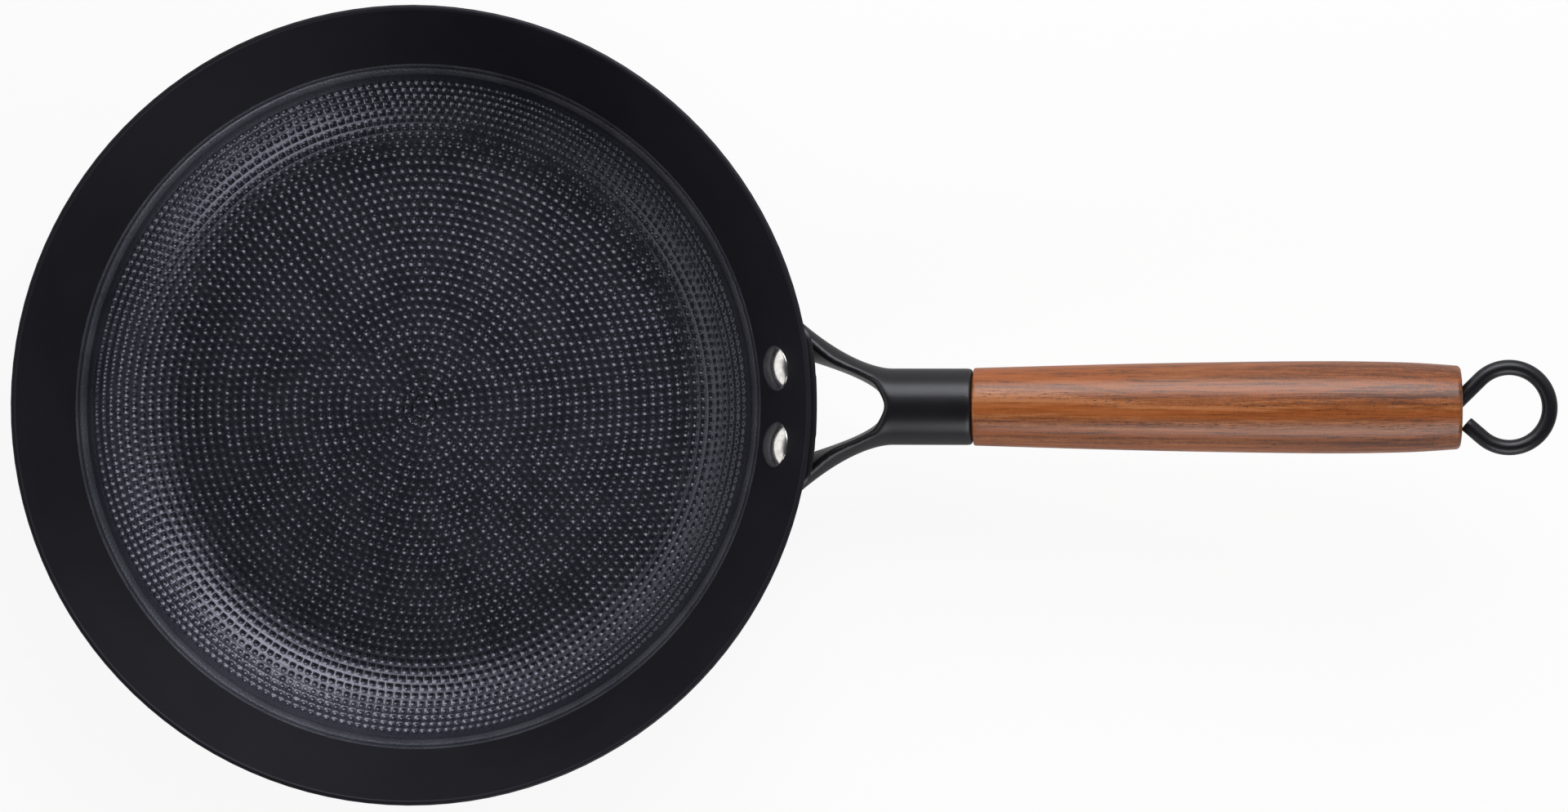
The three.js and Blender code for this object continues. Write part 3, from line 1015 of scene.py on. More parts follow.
    def put(
        self,
        draft: Draft,
        reach: np.ndarray,
        angle: np.ndarray,
        aside: np.ndarray | float = 0.0,
        lift: np.ndarray | float = 0.0,
    ) -> np.ndarray:
        """Adds points of the cooking surface.

        Args:
            draft: Where they go.
            reach: Distance from the centre along the surface.
            angle: Angle about the bowl's axis.
            aside: Distance to the side of that angle.
            lift: Height above the ground between the cups.

        Returns:
            The points' numbers.
        """
        reach, angle, aside, lift = np.broadcast_arrays(reach, angle, aside, lift)
        radius, height = self.on_sheet(reach, self.ground + lift)
        x = radius * np.cos(angle) - aside * np.sin(angle)
        y = radius * np.sin(angle) + aside * np.cos(angle)
        self.reach_in.append(reach.ravel().copy())
        self.reach_out.append(np.zeros(reach.size))
        return draft.add_points(np.stack([x, y, height], axis=-1))

    def cups(self, draft: Draft, row: int, chance: np.random.Generator) -> tuple[np.ndarray, np.ndarray]:
        """Adds one row of cups, each in its own cell.

        Args:
            draft: Where they go.
            row: The row's number, from 1.
            chance: What makes the cups differ a little.

        Returns:
            The numbers of the inner and the outer border's points.
        """
        count, reach = self.cups_in(row), row * self.pitch
        middle = math.radians(self.start) + circle(count)
        border, spoke = middle - math.pi / count, middle[:, None]
        ramp = min(max((row - self.stepped) / (self.crowded - self.stepped), 0.0), 1.0)
        step, narrow = self.step * ramp, 1 - self.narrowing * ramp
        half = (self.cell - self.riser * ramp) * self.pitch
        tilt = step / half
        inner = self.put(draft, reach - half, border, lift=step)
        outer = self.put(draft, reach + half, border, lift=-step)
        turn = np.radians(360.0 / CUP_SIDES * (np.arange(CUP_SIDES) + 0.5))

        def scatter(spread: float, *shape: int, high: float = 2.0) -> np.ndarray:
            """Random differences, cut off at two spreads below and at a number of them above."""
            return spread * np.clip(chance.standard_normal(shape), -2.0, high)

        wide = self.cup * (1 + scatter(self.uneven_cup, count, 1))
        deep = self.depth * (1 + scatter(self.uneven_depth, count, 1, high=self.deepest))
        shift = scatter(self.uneven_place, 2, count, 1)
        slant = scatter(self.uneven_bottom, 2, count, 1)

        def ring(share: float, drop: float) -> np.ndarray:
            """Adds a ring to each cup.

            Args:
                share: Its share of the cup's radius.
                drop: Its share of the cup's depth.

            Returns:
                The numbers of its points, cup by cup.
            """
            out = shift[0] + slant[0] * drop + share * narrow * wide * np.cos(turn)
            side = shift[1] + slant[1] * drop + share * wide * np.sin(turn)
            return self.put(draft, reach + out, spoke, side, -drop * deep - tilt * out)

        edge, wall = ring(1.0, 0.0), ring(*self.waist)
        out, side = shift + slant
        bottom = self.put(draft, reach + out, spoke, side, -deep - tilt * out)[:, 0]
        posts = (np.roll(outer, -1), np.roll(inner, -1), inner, outer)
        quads, corners = [], []
        for n, post in enumerate(posts):
            left, right = 2 * n + 1, (2 * n + 2) % CUP_SIDES
            quads.append((post, posts[(n + 1) % len(posts)], edge[:, right], edge[:, left]))
            corners.append((post, edge[:, left], edge[:, left - 1]))
        for n in range(CUP_SIDES):
            ahead = (n + 1) % CUP_SIDES
            quads.append((edge[:, n], edge[:, ahead], wall[:, ahead], wall[:, n]))
            corners.append((wall[:, n], wall[:, ahead], bottom))
        for shapes in (quads, corners):
            draft.add_faces(np.concatenate([np.stack(shape, axis=-1) for shape in shapes]))
        return inner, outer

    @staticmethod
    def sew(draft: Draft, inner: np.ndarray, outer: np.ndarray, shift: float) -> None:
        """Fills the gap between two rings of different counts with triangles.

        Args:
            draft: Where the faces go.
            inner: The inner ring's points.
            outer: The outer ring's points.
            shift: How far the outer ring starts after the inner one, in radians.
        """
        n, m = len(inner), len(outer)
        after_inner = (np.arange(n) + 0.5) * 2 * math.pi / n
        after_outer = (np.arange(m) + 0.5) * 2 * math.pi / m + shift
        order = np.argsort(np.concatenate([after_inner, after_outer]), kind="stable")
        on_inner = order < n
        i = np.cumsum(on_inner) - on_inner
        j = np.cumsum(~on_inner) - ~on_inner
        third = np.where(on_inner, inner[(i + 1) % n], outer[(j + 1) % m])
        draft.add_faces(np.stack([inner[i % n], outer[j % m], third], axis=-1))

    def section(self) -> list[tuple[float, float, Zone]]:
        """The plain section from the last row over the lip to the middle of the base.

        Returns:
            Radius and height of each ring, and the zone that starts there.
        """
        half, top = self.sheet / 2, self.wall_start + self.wall_length
        inside = [(self.last, self.ground - self.step, Zone.CUPS)]
        inside += [(self.last + far, offset, zone) for far, offset, zone in self.ledge]
        inside += [(self.last + far, half, Zone.BAND) for far in self.band]
        inside.append((top - self.band_end, half, Zone.BAND))
        outside = [top - down for down in self.back]
        outside += [*np.linspace(self.wall_start, self.floor, self.corner_rings)]
        outside += [self.floor - self.base[0], *self.base[1:]]
        rings = [(*self.on_sheet(np.float64(reach), offset), zone) for reach, offset, zone in inside]
        rings += [(self.rim - inwards, self.height - down, zone) for inwards, down, zone in self.lip]
        rings += [(*self.on_sheet(np.float64(reach), -half), Zone.OUTSIDE) for reach in outside]
        return rings

    def rings(self, draft: Draft, outer: np.ndarray) -> None:
        """Adds the plain parts outside the last row.

        Args:
            draft: Where they go.
            outer: The outer border of the last row.
        """
        section = self.section()
        radius, height = np.array([ring[:2] for ring in section]).T
        angle = math.radians(self.start) + circle(self.sides)
        x, y = np.outer(radius, np.cos(angle)), np.outer(radius, np.sin(angle))
        z = np.broadcast_to(height[:, None], x.shape)
        numbers = draft.add_points(np.stack([x, y, z], axis=-1))
        steps = np.hypot(np.diff(radius), np.diff(height))
        along = np.concatenate([[0.0], np.cumsum(steps)])
        self.reach_in.append(np.repeat(self.last + along, self.sides))
        self.reach_out.append(np.repeat(along[-1] + radius[-1] - along, self.sides))
        self.sew(draft, outer, numbers[0], math.pi / self.cups_in(self.rows))
        ahead = np.roll(numbers, -1, axis=1)
        quads = np.stack([numbers[:-1], numbers[1:], ahead[1:], ahead[:-1]], axis=-1)
        for strip, (_, _, zone) in zip(quads, section):
            draft.add_faces(strip, finish=zone)
        middle = draft.add_points(np.array([[0.0, 0.0, height[-1]]]))
        self.reach_in.append(np.zeros(1))
        self.reach_out.append(np.zeros(1))
        hub = np.full(self.sides, middle[0])
        draft.add_faces(np.stack([numbers[-1], hub, ahead[-1]], axis=-1), finish=Zone.OUTSIDE)

    def places(self, draft: Draft) -> None:
        """Lays the inside and the outside on the bake map as two discs.

        Args:
            draft: The bowl's points and faces, whose map is filled in.
        """
        points = np.concatenate(draft.points)
        angle = np.arctan2(points[:, 1], points[:, 0])
        ray = np.stack([np.cos(angle), np.sin(angle)], axis=-1)
        discs = []
        sides = ((self.inside_disc, self.reach_in), (self.outside_disc, self.reach_out))
        for (x, y, radius), blocks in sides:
            reach = np.concatenate(blocks)
            discs.append((x, y) + radius * ray * (reach / reach.max())[:, None])
        inside, outside = discs
        for n, (faces, zone) in enumerate(zip(draft.faces, draft.finishes)):
            draft.maps[n] = (outside if zone == Zone.OUTSIDE else inside)[faces]

    def build(self) -> bpy.types.Object:
        """Makes the bowl.

        Returns:
            The finished piece.
        """
        draft, chance = Draft(), np.random.default_rng(self.seed)
        turn = np.radians(360.0 / CUP_SIDES * np.arange(CUP_SIDES) + self.start)
        edge = self.put(draft, np.full(CUP_SIDES, self.cup), turn)
        hub = self.put(draft, np.zeros(1), np.zeros(1), lift=-self.depth)
        draft.add_faces(np.stack([edge, np.roll(edge, -1), np.full(CUP_SIDES, hub[0])], axis=-1))
        border, first = edge, 0.0
        for row in range(1, self.rows + 1):
            inner, outer = self.cups(draft, row, chance)
            start = -math.pi / self.cups_in(row)
            self.sew(draft, border, inner, start - first)
            border, first = outer, start
        self.rings(draft, border)
        self.places(draft)
        ledge = DimpledIron(
            "ledge_iron",
            colour=(0.023, 0.0232, 0.029, 1.0),
            roughness=0.4,
            cloud=(0.042, 0.0423, 0.05, 1.0),
            grit=0.3,
        )
        finishes = (DimpledIron(), PlainIron(), ledge)
        numbers = {Zone.CUPS: 0, Zone.BAND: 1, Zone.OUTSIDE: 1, Zone.LEDGE: 2}
        draft.finishes = [numbers[Zone(zone)] for zone in draft.finishes]
        return dress(draft.object("bowl"), finishes, Body.PAN, "pan_bowl")

    def wall_point(self, along: float, offset: float) -> tuple[float, float]:
        """Radius and height of a point along the wall and inwards from the middle of the sheet."""
        radius, height = self.on_sheet(np.float64(self.wall_start + along), offset)
        return float(radius), float(height)

    def outside(self, x: np.ndarray, y: np.ndarray, z: np.ndarray) -> np.ndarray:
        """Distance outwards from the middle of the wall's sheet."""
        foot, height = self.wall_point(0.0, 0.0)
        return (np.hypot(x, y) - foot) * math.sin(self.slope) - (z - height) * math.cos(self.slope)


# Rivets


@dataclass
class Rivets:
    """The two rivets: a shallow dome inside the bowl, a shank, and a small dome behind the flange.

    Attributes:
        bowl: The bowl that they hold.
        spacing: Distance between the two.
        drop: From the top of the rim to the middle of a head.
        head: Radius of a head.
        rise: Height of a head's dome.
        rim: Height of a head's edge above the wall.
        bevel: How far that edge is bevelled.
        shoulder: From a head's edge to the start of its dome.
        sunk: How far a head and a tail reach into what they hold.
        seat: Where the flange's outer face lies, from the middle of the sheet.
        tail: Radius of a tail.
        tail_rise: Height of a tail's dome.
        tail_edge: Height of a tail's edge.
        shank: Radius of a shank.
        tip: Radius of the flat at the top of both domes.
        sides: How many sides they have.
    """

    bowl: Bowl
    spacing: float = 27.2
    drop: float = 17.2
    head: float = 8.1
    rise: float = 2.7
    rim: float = 0.3
    bevel: float = 0.1
    shoulder: float = 0.35
    sunk: tuple[float, float] = (0.3, 0.1)
    seat: float = 4.3
    tail: float = 4.75
    tail_rise: float = 1.2
    tail_edge: float = 1.0
    shank: float = 3.0
    tip: float = 0.05
    sides: int = 64

    def profile(self) -> list[tuple[float, float]]:
        """The line that a rivet is turned from, from the tail's top to the head's top.

        Returns:
            Pairs of radius and distance from the middle of the sheet.
        """
        ball = (self.tail**2 + self.tail_rise**2) / (2 * self.tail_rise)
        spread = math.degrees(math.asin(self.tail / ball))
        peak = self.seat + self.tail_edge + self.tail_rise
        tail = arc(0.0, ball - peak, -ball, 90.0, 90.0 + spread, 8)
        face = self.bowl.sheet / 2
        edge, under, over = face + self.rim, face - self.sunk[0], self.sunk[1] - self.seat
        tail += [(self.tail, -self.seat - self.tail_edge / 2), (self.tail, over)]
        middle = [(self.shank, over), (self.shank, under), (self.head - self.bevel, under)]
        brim = [(self.head, face), (self.head, edge - self.bevel)]
        brim.append((self.head - self.bevel, edge + self.bevel / 2))
        dome = (self.head**2 + self.rise**2) / (2 * self.rise)
        lean = math.degrees(math.asin((self.head - self.shoulder) / dome))
        head = arc(0.0, edge + self.rise - dome, dome, 90.0 - lean, 90.0, 14)
        return [(max(radius, self.tip), along) for radius, along in tail + middle + brim + head]

    def build(self) -> list[bpy.types.Object]:
        """Makes both rivets.

        Returns:
            The finished pieces.
        """
        along = self.bowl.wall_length - (self.drop - self.bowl.sheet / 2) / math.sin(self.bowl.slope)
        radius, height = self.bowl.wall_point(along, 0.0)
        spread = math.asin(self.spacing / 2 / radius)
        lean = Matrix.Rotation(-self.bowl.slope - math.pi / 2, 4, "Y")
        move = Matrix.Translation((radius * MM, 0.0, height * MM))
        steel = BareSteel("polished_steel", "rivet_metal")
        pieces = []
        for side in Side:
            draft, name = Draft(), side.name.lower()
            cap(draft, skin(draft, turned(self.profile(), self.sides)))
            matrix = Matrix.Rotation(side.value * spread, 4, "Z") @ move @ lean
            piece = draft.object(f"rivet_dome_{name}", matrix)
            pieces.append(dress(piece, [steel], Body.PAN, f"rivet_{name}"))
        return pieces


# Handle


@dataclass
class Handle:
    """Where the handle lies and what its pieces share.

    Attributes:
        root: Where its axis meets the flange.
        rise: Degrees up from level.
        fork: From the flange to the round of the socket.
        socket: Radius of the socket.
        socket_end: Where the socket ends.
        bore: Radius of the socket's bore.
        bore_floor: Where the bore ends.
        rod: Radius of the hook's rod.
        gap: Between pieces that seat on each other.
        grip_end: Where the grip ends.
    """

    root: tuple[float, float, float] = (134.07256, 0.0, 33.0)
    rise: float = 6.0
    fork: float = 34.5
    socket: float = 13.5
    socket_end: float = 63.1
    bore: float = 11.2
    bore_floor: float = 44.1
    rod: float = 2.7
    gap: float = 0.3
    grip_end: float = 232.4

    @property
    def matrix(self) -> Matrix:
        """The handle's own axes, in metres."""
        place = Matrix.Translation(Vector(self.root) * MM)
        return place @ Matrix.Rotation(-math.radians(self.rise), 4, "Y")


@dataclass
class Bracket:
    """The fork bracket: a flange on the wall, two arms that flare out of a round socket, and a window.

    Attributes:
        handle: What it shares with the handle.
        bowl: The bowl that it hugs.
        width: Width of the flange.
        height: Height of the flange.
        thickness: Thickness of the flange.
        corner: Radius of the flange's corners.
        margin: Flange that shows above and below the arms.
        squareness: Exponent of the section at the flange.
        flare: Exponent of the arms' outer line.
        tip_back: From the round of the socket to the window's tip.
        tip_radius: Of the window's tip, at the bottom of the arms.
        lean: How much wider the window is at the top.
        lean_start: From the tip to where the arms lean fully.
        hollow: Exponent of the window's wall, which leans out more and more on its way up.
        seat: From the middle of the wall's sheet to the flange.
        fillet: How wide the arms' fillets on the flange are.
        root_radius: Of the sweep from the arms into the flange.
        window_edge: How wide the window's edges are rounded.
        socket_edge: How wide the socket's edge is rounded.
        flange_edge: How wide the flange's outer edge is rounded.
        back_edge: How wide the flange's edge on the wall is rounded.
        bore_edge: How wide the bore's edge is rounded.
        pocket: Radius of the nut's pocket, and where it ends.
        hole_floor: Where the rod's hole ends.
        low: The lattice's lowest corner. It reaches as far to the other side and above.
        beyond: How far it reaches past the socket.
        cell: Distance between its points.
        smoothing: How often its surface is smoothed.
    """

    handle: Handle
    bowl: Bowl
    width: float = 64.0
    height: float = 24.0
    thickness: float = 3.65
    corner: float = 9.0
    margin: float = 1.0
    squareness: float = 2.4
    flare: float = 1.66
    tip_back: float = 1.9
    tip_radius: float = 4.7
    lean: float = 2.8
    lean_start: float = 5.0
    hollow: float = 3.0
    seat: float = 1.15
    fillet: float = 3.0
    root_radius: float = 5.5
    window_edge: float = 2.4
    socket_edge: float = 1.2
    flange_edge: float = 1.4
    back_edge: float = 0.8
    bore_edge: float = 0.8
    pocket: tuple[float, float] = (6.1, 38.5)
    hole_floor: float = 35.3
    low: tuple[float, float, float] = (-20.1, -34.0, -15.5)
    beyond: float = 1.5
    cell: float = 0.5
    smoothing: int = 6

    def fork(self, lattice: Lattice, x: np.ndarray, y: np.ndarray, z: np.ndarray) -> np.ndarray:
        """The fork and the socket: a round section that turns wide and squarish towards the flange.

        Args:
            lattice: The block of points.
            x: The points' distance from the flange.
            y: Their distance to the side.
            z: Their height.

        Returns:
            Distances.
        """
        spread = np.clip((self.handle.fork - x) / self.handle.fork, 0.0, 1.0)
        wide = self.handle.socket + (self.width / 2 - self.handle.socket) * spread**self.flare
        high = self.handle.socket + (self.height / 2 - self.margin - self.handle.socket) * eased(spread)
        power = 2 + (self.squareness - 2) * spread
        round_part = (np.abs(y / wide) ** power + np.abs(z / high) ** power) ** (1 / power) - 1
        return most(lattice.distance(round_part), x - self.handle.socket_end, self.socket_edge)

    def window(self, lattice: Lattice, x: np.ndarray, y: np.ndarray, z: np.ndarray) -> np.ndarray:
        """The window between the arms: a parabola that opens towards the flange and leans out upwards.

        Args:
            lattice: The block of points.
            x: The points' distance from the flange.
            y: Their distance to the side.
            z: Their height.

        Returns:
            Distances, negative in the window.
        """
        tip = self.handle.fork - self.tip_back
        back = np.maximum(tip - x, 0.0)
        start = eased(np.clip(back / self.lean_start, 0.0, 1.0))
        sweep = np.clip(back - tip / 2, 0.0, tip / 2) ** 2 / (2 * self.root_radius)
        lean = self.lean * start + sweep
        rise = np.maximum(z / (self.height / 2 - self.margin) + 1, 0.0) / 2
        aside = np.maximum(np.abs(y) - lean * rise**self.hollow, 0.0)
        return lattice.distance(aside**2 - 2 * self.tip_radius * (tip - x))

    def flange(self, outside: np.ndarray, y: np.ndarray, z: np.ndarray) -> np.ndarray:
        """The flange: a plate with round corners that hugs the wall.

        Args:
            outside: The points' distance from the middle of the wall.
            y: Their distance to the side.
            z: Their height.

        Returns:
            Distances.
        """
        over_y = np.maximum(np.abs(y) - self.width / 2 + self.corner, 0.0)
        over_z = np.maximum(np.abs(z) - self.height / 2 + self.corner, 0.0)
        plate = np.hypot(over_y, over_z) - self.corner
        return most(plate, outside - self.seat - self.thickness, self.flange_edge)

    def bore(self, x: np.ndarray, around: np.ndarray) -> np.ndarray:
        """The bore, the nut's pocket and the rod's hole.

        Args:
            x: The points' distance from the flange.
            around: Their distance from the handle's axis.

        Returns:
            Distances, negative in the bore.
        """
        bore = np.maximum(around - self.handle.bore, self.handle.bore_floor - x)
        pocket = np.maximum(around - self.pocket[0], self.pocket[1] - x)
        hole = np.maximum(around - self.handle.rod - self.handle.gap, self.hole_floor - x)
        return np.minimum(np.minimum(bore, pocket), hole)

    def build(self) -> bpy.types.Object:
        """Makes the bracket.

        Returns:
            The finished piece.
        """
        _, beside, below = self.low
        lattice = Lattice(self.low, (self.handle.socket_end + self.beyond, -beside, -below), self.cell)
        x, y, z = lattice.points()
        lean, root = math.radians(self.handle.rise), self.handle.root
        along = root[0] + x * math.cos(lean) - z * math.sin(lean)
        height = root[2] + x * math.sin(lean) + z * math.cos(lean)
        outside = self.bowl.outside(along, y, height)
        solid = most(self.fork(lattice, x, y, z), -self.window(lattice, x, y, z), self.window_edge)
        solid = least(solid, self.flange(outside, y, z), self.fillet)
        solid = most(solid, -self.bore(x, np.hypot(y, z)), self.bore_edge)
        solid = most(solid, self.seat - outside, self.back_edge)
        piece = lattice.draft(solid, self.smoothing).object("fork_bracket", self.handle.matrix)
        paint = SatinPaint("satin_black_bracket", "bracket_paint")
        return dress(piece, [paint], Body.PAN, "handle_bracket")


@dataclass
class Grip:
    """The turned wooden grip, with a tenon in the socket and a recess round the hook's bend.

    Attributes:
        handle: What it shares with the handle.
        front: Radius at its front.
        belly: Its largest radius.
        end: Radius at its end.
        swell: Share of its length at which two thirds of the way to the belly are done.
        widest: Share of its length at which the belly lies.
        wane: Share of its length at which a quarter of the way to the end is done.
        edge: Radius of its end's edge.
        front_edge: Radius of its front's edge.
        mouth_edge: Radius of the recess's edge.
        tenon_tip: Where its tenon ends.
        chamfer: On the tip of the tenon.
        recess: Radius of the recess.
        recess_floor: Where the recess ends.
        steps: How many points each stretch of its side has.
        sides: How many sides it has.
    """

    handle: Handle
    front: float = 13.7
    belly: float = 16.08
    end: float = 14.59
    swell: float = 0.36
    widest: float = 0.69
    wane: float = 0.88
    edge: float = 1.6
    front_edge: float = 0.8
    mouth_edge: float = 0.6
    tenon_tip: float = 45.1
    chamfer: float = 1.0
    recess: float = 7.78
    recess_floor: float = 225.96
    steps: int = 18
    sides: int = 96

    def side(self) -> list[tuple[float, float]]:
        """The line of its side, through five points.

        Returns:
            Pairs of radius and distance along the handle.
        """
        start = self.handle.socket_end + self.handle.gap
        length = self.handle.grip_end - start
        points = np.array(
            [
                (self.front, start + self.edge / 2),
                (self.front + (self.belly - self.front) * 2 / 3, start + self.swell * length),
                (self.belly, start + self.widest * length),
                (self.belly + (self.end - self.belly) / 4, start + self.wane * length),
                (self.end, self.handle.grip_end - self.edge),
            ]
        )
        padded = np.concatenate([points[:1], points, points[-1:]])
        line = []
        for n in range(len(points) - 1):
            before, first, last, after = padded[n : n + 4]
            into, out = (last - before) / 2, (after - first) / 2
            for t in np.linspace(0.0, 1.0, self.steps)[: None if n == len(points) - 2 else -1]:
                cubic = (2 * first - 2 * last + into + out) * t**3
                square = (3 * last - 3 * first - 2 * into - out) * t**2
                line.append(tuple(cubic + square + into * t + first))
        return line

    def build(self) -> bpy.types.Object:
        """Makes the grip.

        Returns:
            The finished piece.
        """
        start, end = self.handle.socket_end + self.handle.gap, self.handle.grip_end
        tenon, bore = self.handle.bore - self.handle.gap, self.handle.rod + self.handle.gap
        front, mouth = self.front_edge, self.mouth_edge
        profile = [
            (bore, self.tenon_tip),
            (tenon - self.chamfer, self.tenon_tip),
            (tenon, self.tenon_tip + self.chamfer),
            (tenon, start),
            *arc(self.front - front, start + front, front, 270.0, 350.0, 5),
            *self.side(),
            *arc(self.end - self.edge, end - self.edge, self.edge, 8.0, 90.0, 7),
            *arc(self.recess + mouth, end - mouth, mouth, 90.0, 180.0, 5),
            (self.recess, self.recess_floor),
            (bore, self.recess_floor),
            (bore, self.tenon_tip),
        ]
        draft = Draft()
        skin(draft, turned(profile, self.sides))
        wood = OiledWood(root=self.handle.root, rise=self.handle.rise)
        return dress(draft.object("wooden_grip", self.handle.matrix), [wood], Body.PAN, "grip")


@dataclass
class Hook:
    """The hanging hook: one rod from the nut through the grip, bent into a loop that comes back to the wood.

    Attributes:
        handle: What it shares with the handle.
        loop: Radius of the loop's middle line.
        reach: From the end of the grip to the middle of the loop.
        leaving: Degrees between the axis and the strand that leaves.
        returning: Degrees between the axis and the strand that comes back.
        bend: Radius of the bend in the recess.
        tip: Where the rod starts.
        rounding: Distance from the end and loss of radius of the rings at both ends.
        sides: How many sides the rod has.
    """

    handle: Handle
    loop: float = 13.89
    reach: float = 16.8
    leaving: float = 45.0
    returning: float = 41.0
    bend: float = 6.0
    tip: float = 36.3
    rounding: tuple[tuple[float, float], ...] = ((0.35, 0.0), (0.1, 0.1), (0.0, 0.35))
    sides: int = 28

    def line(self) -> np.ndarray:
        """The rod's middle line in the handle's level plane.

        Returns:
            Pairs of distance along and across the handle's axis.
        """
        end = self.handle.grip_end
        loop = arc(end + self.reach, 0.0, self.loop, 90.0 + self.leaving, -90.0 - self.returning, 72)
        (x, y), last = loop[0], loop[-1]
        slope = math.radians(self.leaving)
        crossing = x - y / math.tan(slope)
        start = crossing - self.bend * math.tan(slope / 2)
        bend = arc(start, self.bend, self.bend, -90.0, self.leaving - 90.0, 12)
        back = math.radians(self.returning)
        stop = end + self.handle.gap + self.handle.rod * math.sin(back)
        tail = (stop, last[1] + (last[0] - stop) * math.tan(back))
        shank = [(x, 0.0) for x in np.linspace(self.tip, start, 12)[:-1]]
        between = [tuple(p) for p in np.linspace(bend[-1], loop[0], 4)[1:-1]]
        home = [tuple(p) for p in np.linspace(last, tail, 5)[1:]]
        return np.array(shank + bend + between + loop + home)

    def build(self) -> bpy.types.Object:
        """Makes the hook.

        Returns:
            The finished piece.
        """
        line, rod = self.line(), self.handle.rod
        heading = np.gradient(line, axis=0)
        heading /= np.linalg.norm(heading, axis=1)[:, None]
        rings = [(point, way, rod) for point, way in zip(line[1:-1], heading[1:-1])]
        for inset, loss in self.rounding:
            rings.insert(0, (line[0] + inset * heading[0], heading[0], rod - loss))
            rings.append((line[-1] - inset * heading[-1], heading[-1], rod - loss))
        line, heading, radius = (np.array(column) for column in zip(*rings))
        level = np.zeros((len(line), 1))
        middle = np.concatenate([line, level], axis=1)
        across = np.concatenate([-heading[:, 1:], heading[:, :1], level], axis=1)
        angle = circle(self.sides)[:, None]
        spokes = across[:, None] * np.cos(angle) + np.array([0.0, 0.0, 1.0]) * np.sin(angle)
        draft = Draft()
        cap(draft, skin(draft, middle[:, None] + radius[:, None, None] * spokes))
        paint = SatinPaint("satin_black_hook", "hook_paint")
        return dress(draft.object("hook_rod", self.handle.matrix), [paint], Body.HOOK, "hanging_hook")


@dataclass
class Nut:
    """The nut at the bottom of the socket, whose solid keeps its shape.

    Attributes:
        node: The solid's name.
    """

    node: str = "socket_nut"

    def build(self) -> bpy.types.Object:
        """Gives the nut its finish.

        Returns:
            The finished solid.
        """
        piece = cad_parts[self.node]
        zinc = BareSteel("zinc_plate", "nut_steel", colour=(0.55, 0.55, 0.54, 1.0), roughness=0.38)
        piece.data.materials.clear()
        piece.data.materials.append(zinc.material())
        LOG.info("%s: finished", piece.name)
        return piece


# Studio


@dataclass(frozen=True)
class Softbox:
    """A large soft lamp that faces the pan.

    Attributes:
        name: Its name.
        place: Where it stands, in metres.
        size: Its width and height, in metres.
        power: Its power, in watts.
        glow: Brightness of the walls behind it.
    """

    name: str
    place: tuple[float, float, float]
    size: tuple[float, float]
    power: float
    glow: float

    def build(self, aim: Vector) -> None:
        """Puts the lamp in place.

        Args:
            aim: The point that it faces.
        """
        lamp = bpy.data.lights.new(self.name, "AREA")
        lamp.shape, lamp.size, lamp.size_y = "RECTANGLE", *self.size
        lamp.energy = self.power
        made = placed(self.name, lamp)
        made.location = self.place
        made.rotation_euler = (aim - Vector(self.place)).to_track_quat("-Z", "Y").to_euler()


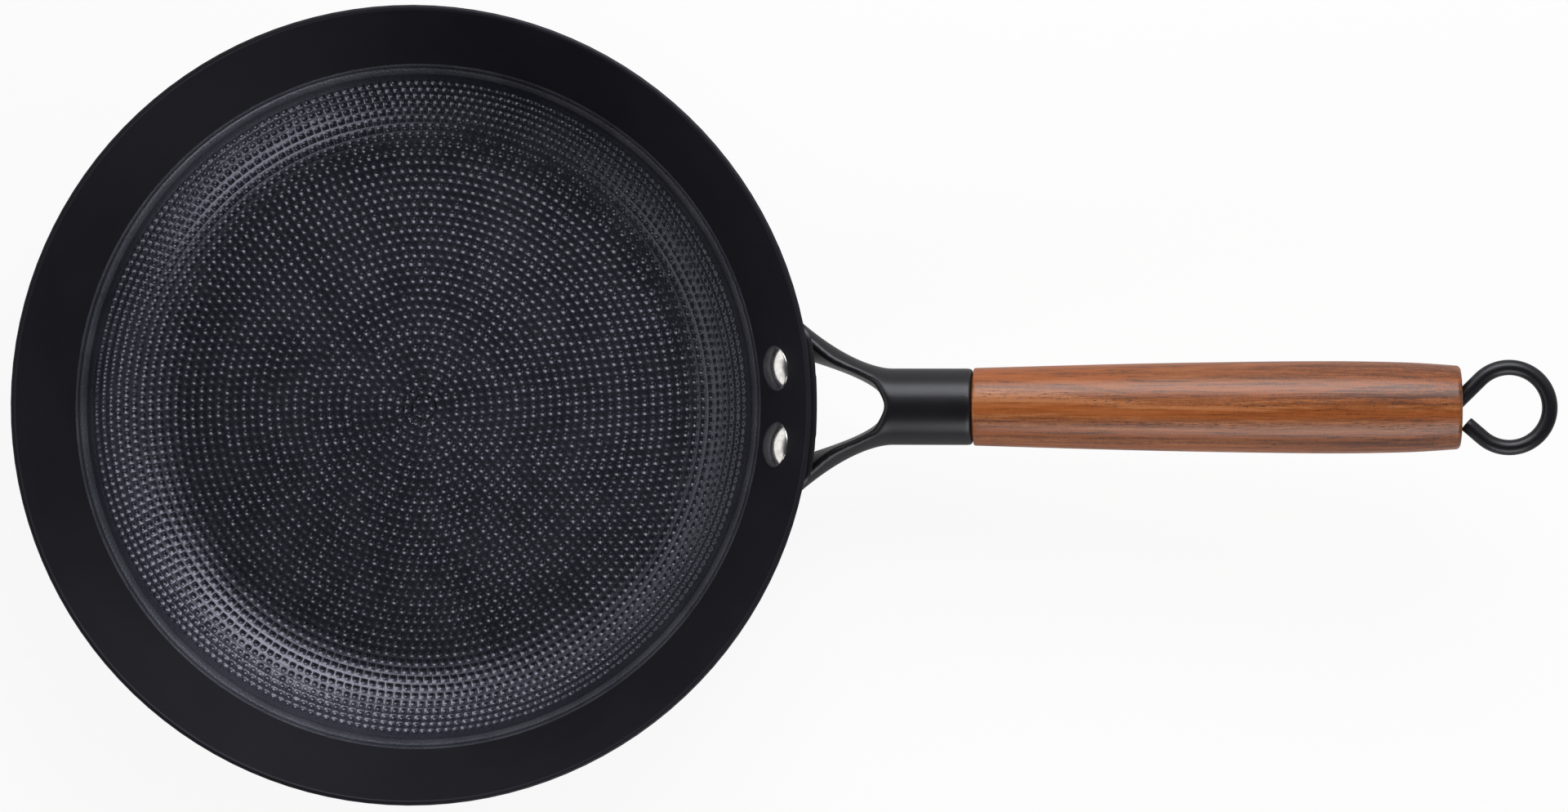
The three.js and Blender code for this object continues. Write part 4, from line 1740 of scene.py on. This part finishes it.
@dataclass
class Studio:
    """A white table, two softboxes, dim walls with a bright screen beyond the bowl, and a camera above.

    Attributes:
        aim: What the camera looks at.
        distance: From the camera to the rim's level.
        focus: Focal length for a sensor 36 wide.
        tilt: Degrees that the camera looks towards the far side.
        roll: Degrees that it is turned.
        whiteness: Share of the table's white that no shadow reaches.
        mirrored: The same share where the table shows in something shiny.
        table_size: Half the table's width and its height, in metres.
        table_seen: The table's colour for the camera.
        table_lit: The table's colour for the light that it sends back.
        dim: The colour of the near wall and the ceiling.
        pale: The colour of the far wall.
        screen: The colour of the screen.
        lamp_aim: What the lamps face.
        softboxes: The lamps.
    """

    aim: tuple[float, float, float] = (0.13034, -0.00014, 0.05)
    distance: float = 1.322
    focus: float = 86.89
    tilt: float = 1.115
    roll: float = 0.19
    whiteness: float = 0.9
    mirrored: float = 0.05
    table_size: tuple[float, float] = (6.0, -0.0002)
    table_seen: Colour = (0.9, 0.9, 0.9, 1.0)
    table_lit: Colour = (0.6, 0.6, 0.6, 1.0)
    dim: Colour = (0.05, 0.05, 0.055, 1.0)
    pale: Colour = (0.6, 0.6, 0.605, 1.0)
    screen: Colour = (1.15, 1.13, 1.12, 1.0)
    lamp_aim: tuple[float, float, float] = (0.1, 0.0, 0.02)
    softboxes: tuple[Softbox, ...] = (
        Softbox("far_softbox", (0.23, 0.56, 0.5), (0.6, 0.45), 4.0, 0.7),
        Softbox("near_softbox", (0.34, -0.6, 0.36), (0.55, 0.4), 2.2, 0.3),
    )

    def table(self) -> None:
        """A white table that keeps a faint shadow."""
        half, height = self.table_size
        corners = [(x * half, y * half, height) for x, y in ((-1, -1), (1, -1), (1, 1), (-1, 1))]
        mesh = bpy.data.meshes.new("table")
        mesh.from_pydata(corners, [], [(0, 1, 2, 3)])
        made = placed("table", mesh)
        material = bpy.data.materials.new("white_table")
        graph = Graph(material)
        path = graph.node("ShaderNodeLightPath")
        rays = ("Camera", "Glossy", "Transmission")
        seen, glossy, through = (Signal(graph, path.outputs[f"Is {kind} Ray"]) for kind in rays)
        factor = (seen * self.whiteness).most(glossy.most(through) * self.mirrored)
        colour = graph.blend(seen, self.table_lit, self.table_seen)
        matte = graph.take("ShaderNodeBsdfDiffuse", sockets={"Color": colour})
        white = graph.take("ShaderNodeEmission", sockets={"Color": (1.0, 1.0, 1.0, 1.0), "Strength": 1.0})
        mixed = graph.take("ShaderNodeMixShader", sockets={0: factor, 1: matte, 2: white})
        graph.node("ShaderNodeOutputMaterial", sockets={"Surface": mixed})
        mesh.materials.append(material)

    def walls(self) -> None:
        """Dim surroundings with a bright screen beyond the bowl, opposite the handle."""
        world = bpy.data.worlds.new("studio")
        bpy.context.scene.world = world
        graph = Graph(world)
        heading = graph.take("ShaderNodeTexCoord", output="Generated")
        x, y, z = graph.parts(heading)
        colour = graph.blend(graph.span(y, -0.6, 0.7), self.dim, self.pale)
        colour = graph.blend(graph.span(z, 0.3, 0.9), colour, self.dim)
        for box in self.softboxes:
            sockets = {0: heading, 1: Vector(box.place).normalized()}
            facing = graph.take("ShaderNodeVectorMath", {"operation": "DOT_PRODUCT"}, sockets, "Value")
            glow = (box.glow, box.glow, box.glow, 1.0)
            colour = graph.blend(graph.span(facing, 0.7, 1.0), colour, glow)
        beyond = graph.span(x, -0.5, -0.75) * graph.span(z, 0.62, 0.45)
        colour = graph.blend(beyond, colour, self.screen)
        light = graph.take("ShaderNodeBackground", sockets={"Color": colour, "Strength": 1.0})
        graph.node("ShaderNodeOutputWorld", sockets={"Surface": light})

    def camera(self) -> None:
        """The camera above the table."""
        data = bpy.data.cameras.new("camera")
        data.sensor_fit, data.sensor_width, data.lens = "HORIZONTAL", 36.0, self.focus
        data.clip_start, data.clip_end = 0.05, 50.0
        made = placed("camera", data)
        turn = Matrix.Rotation(math.radians(self.roll), 4, "Z")
        turn = turn @ Matrix.Rotation(math.radians(self.tilt), 4, "X")
        back = turn.to_3x3() @ Vector((0.0, 0.0, self.distance))
        made.matrix_world = Matrix.Translation(Vector(self.aim) + back) @ turn
        bpy.context.scene.camera = made

    def build(self) -> None:
        """Sets up the whole studio."""
        self.table()
        self.walls()
        for box in self.softboxes:
            box.build(Vector(self.lamp_aim))
        self.camera()
        bpy.context.scene.view_settings.view_transform = "Standard"
        LOG.info("studio: ready")


def main() -> None:
    """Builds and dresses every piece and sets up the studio."""
    logging.basicConfig(level=logging.INFO, format="%(name)s %(message)s")
    bowl, handle = Bowl(), Handle()
    bowl.build()
    Rivets(bowl).build()
    Bracket(handle, bowl).build()
    Grip(handle).build()
    Hook(handle).build()
    Nut().build()
    Studio().build()


if __name__ == "__main__":
    main()
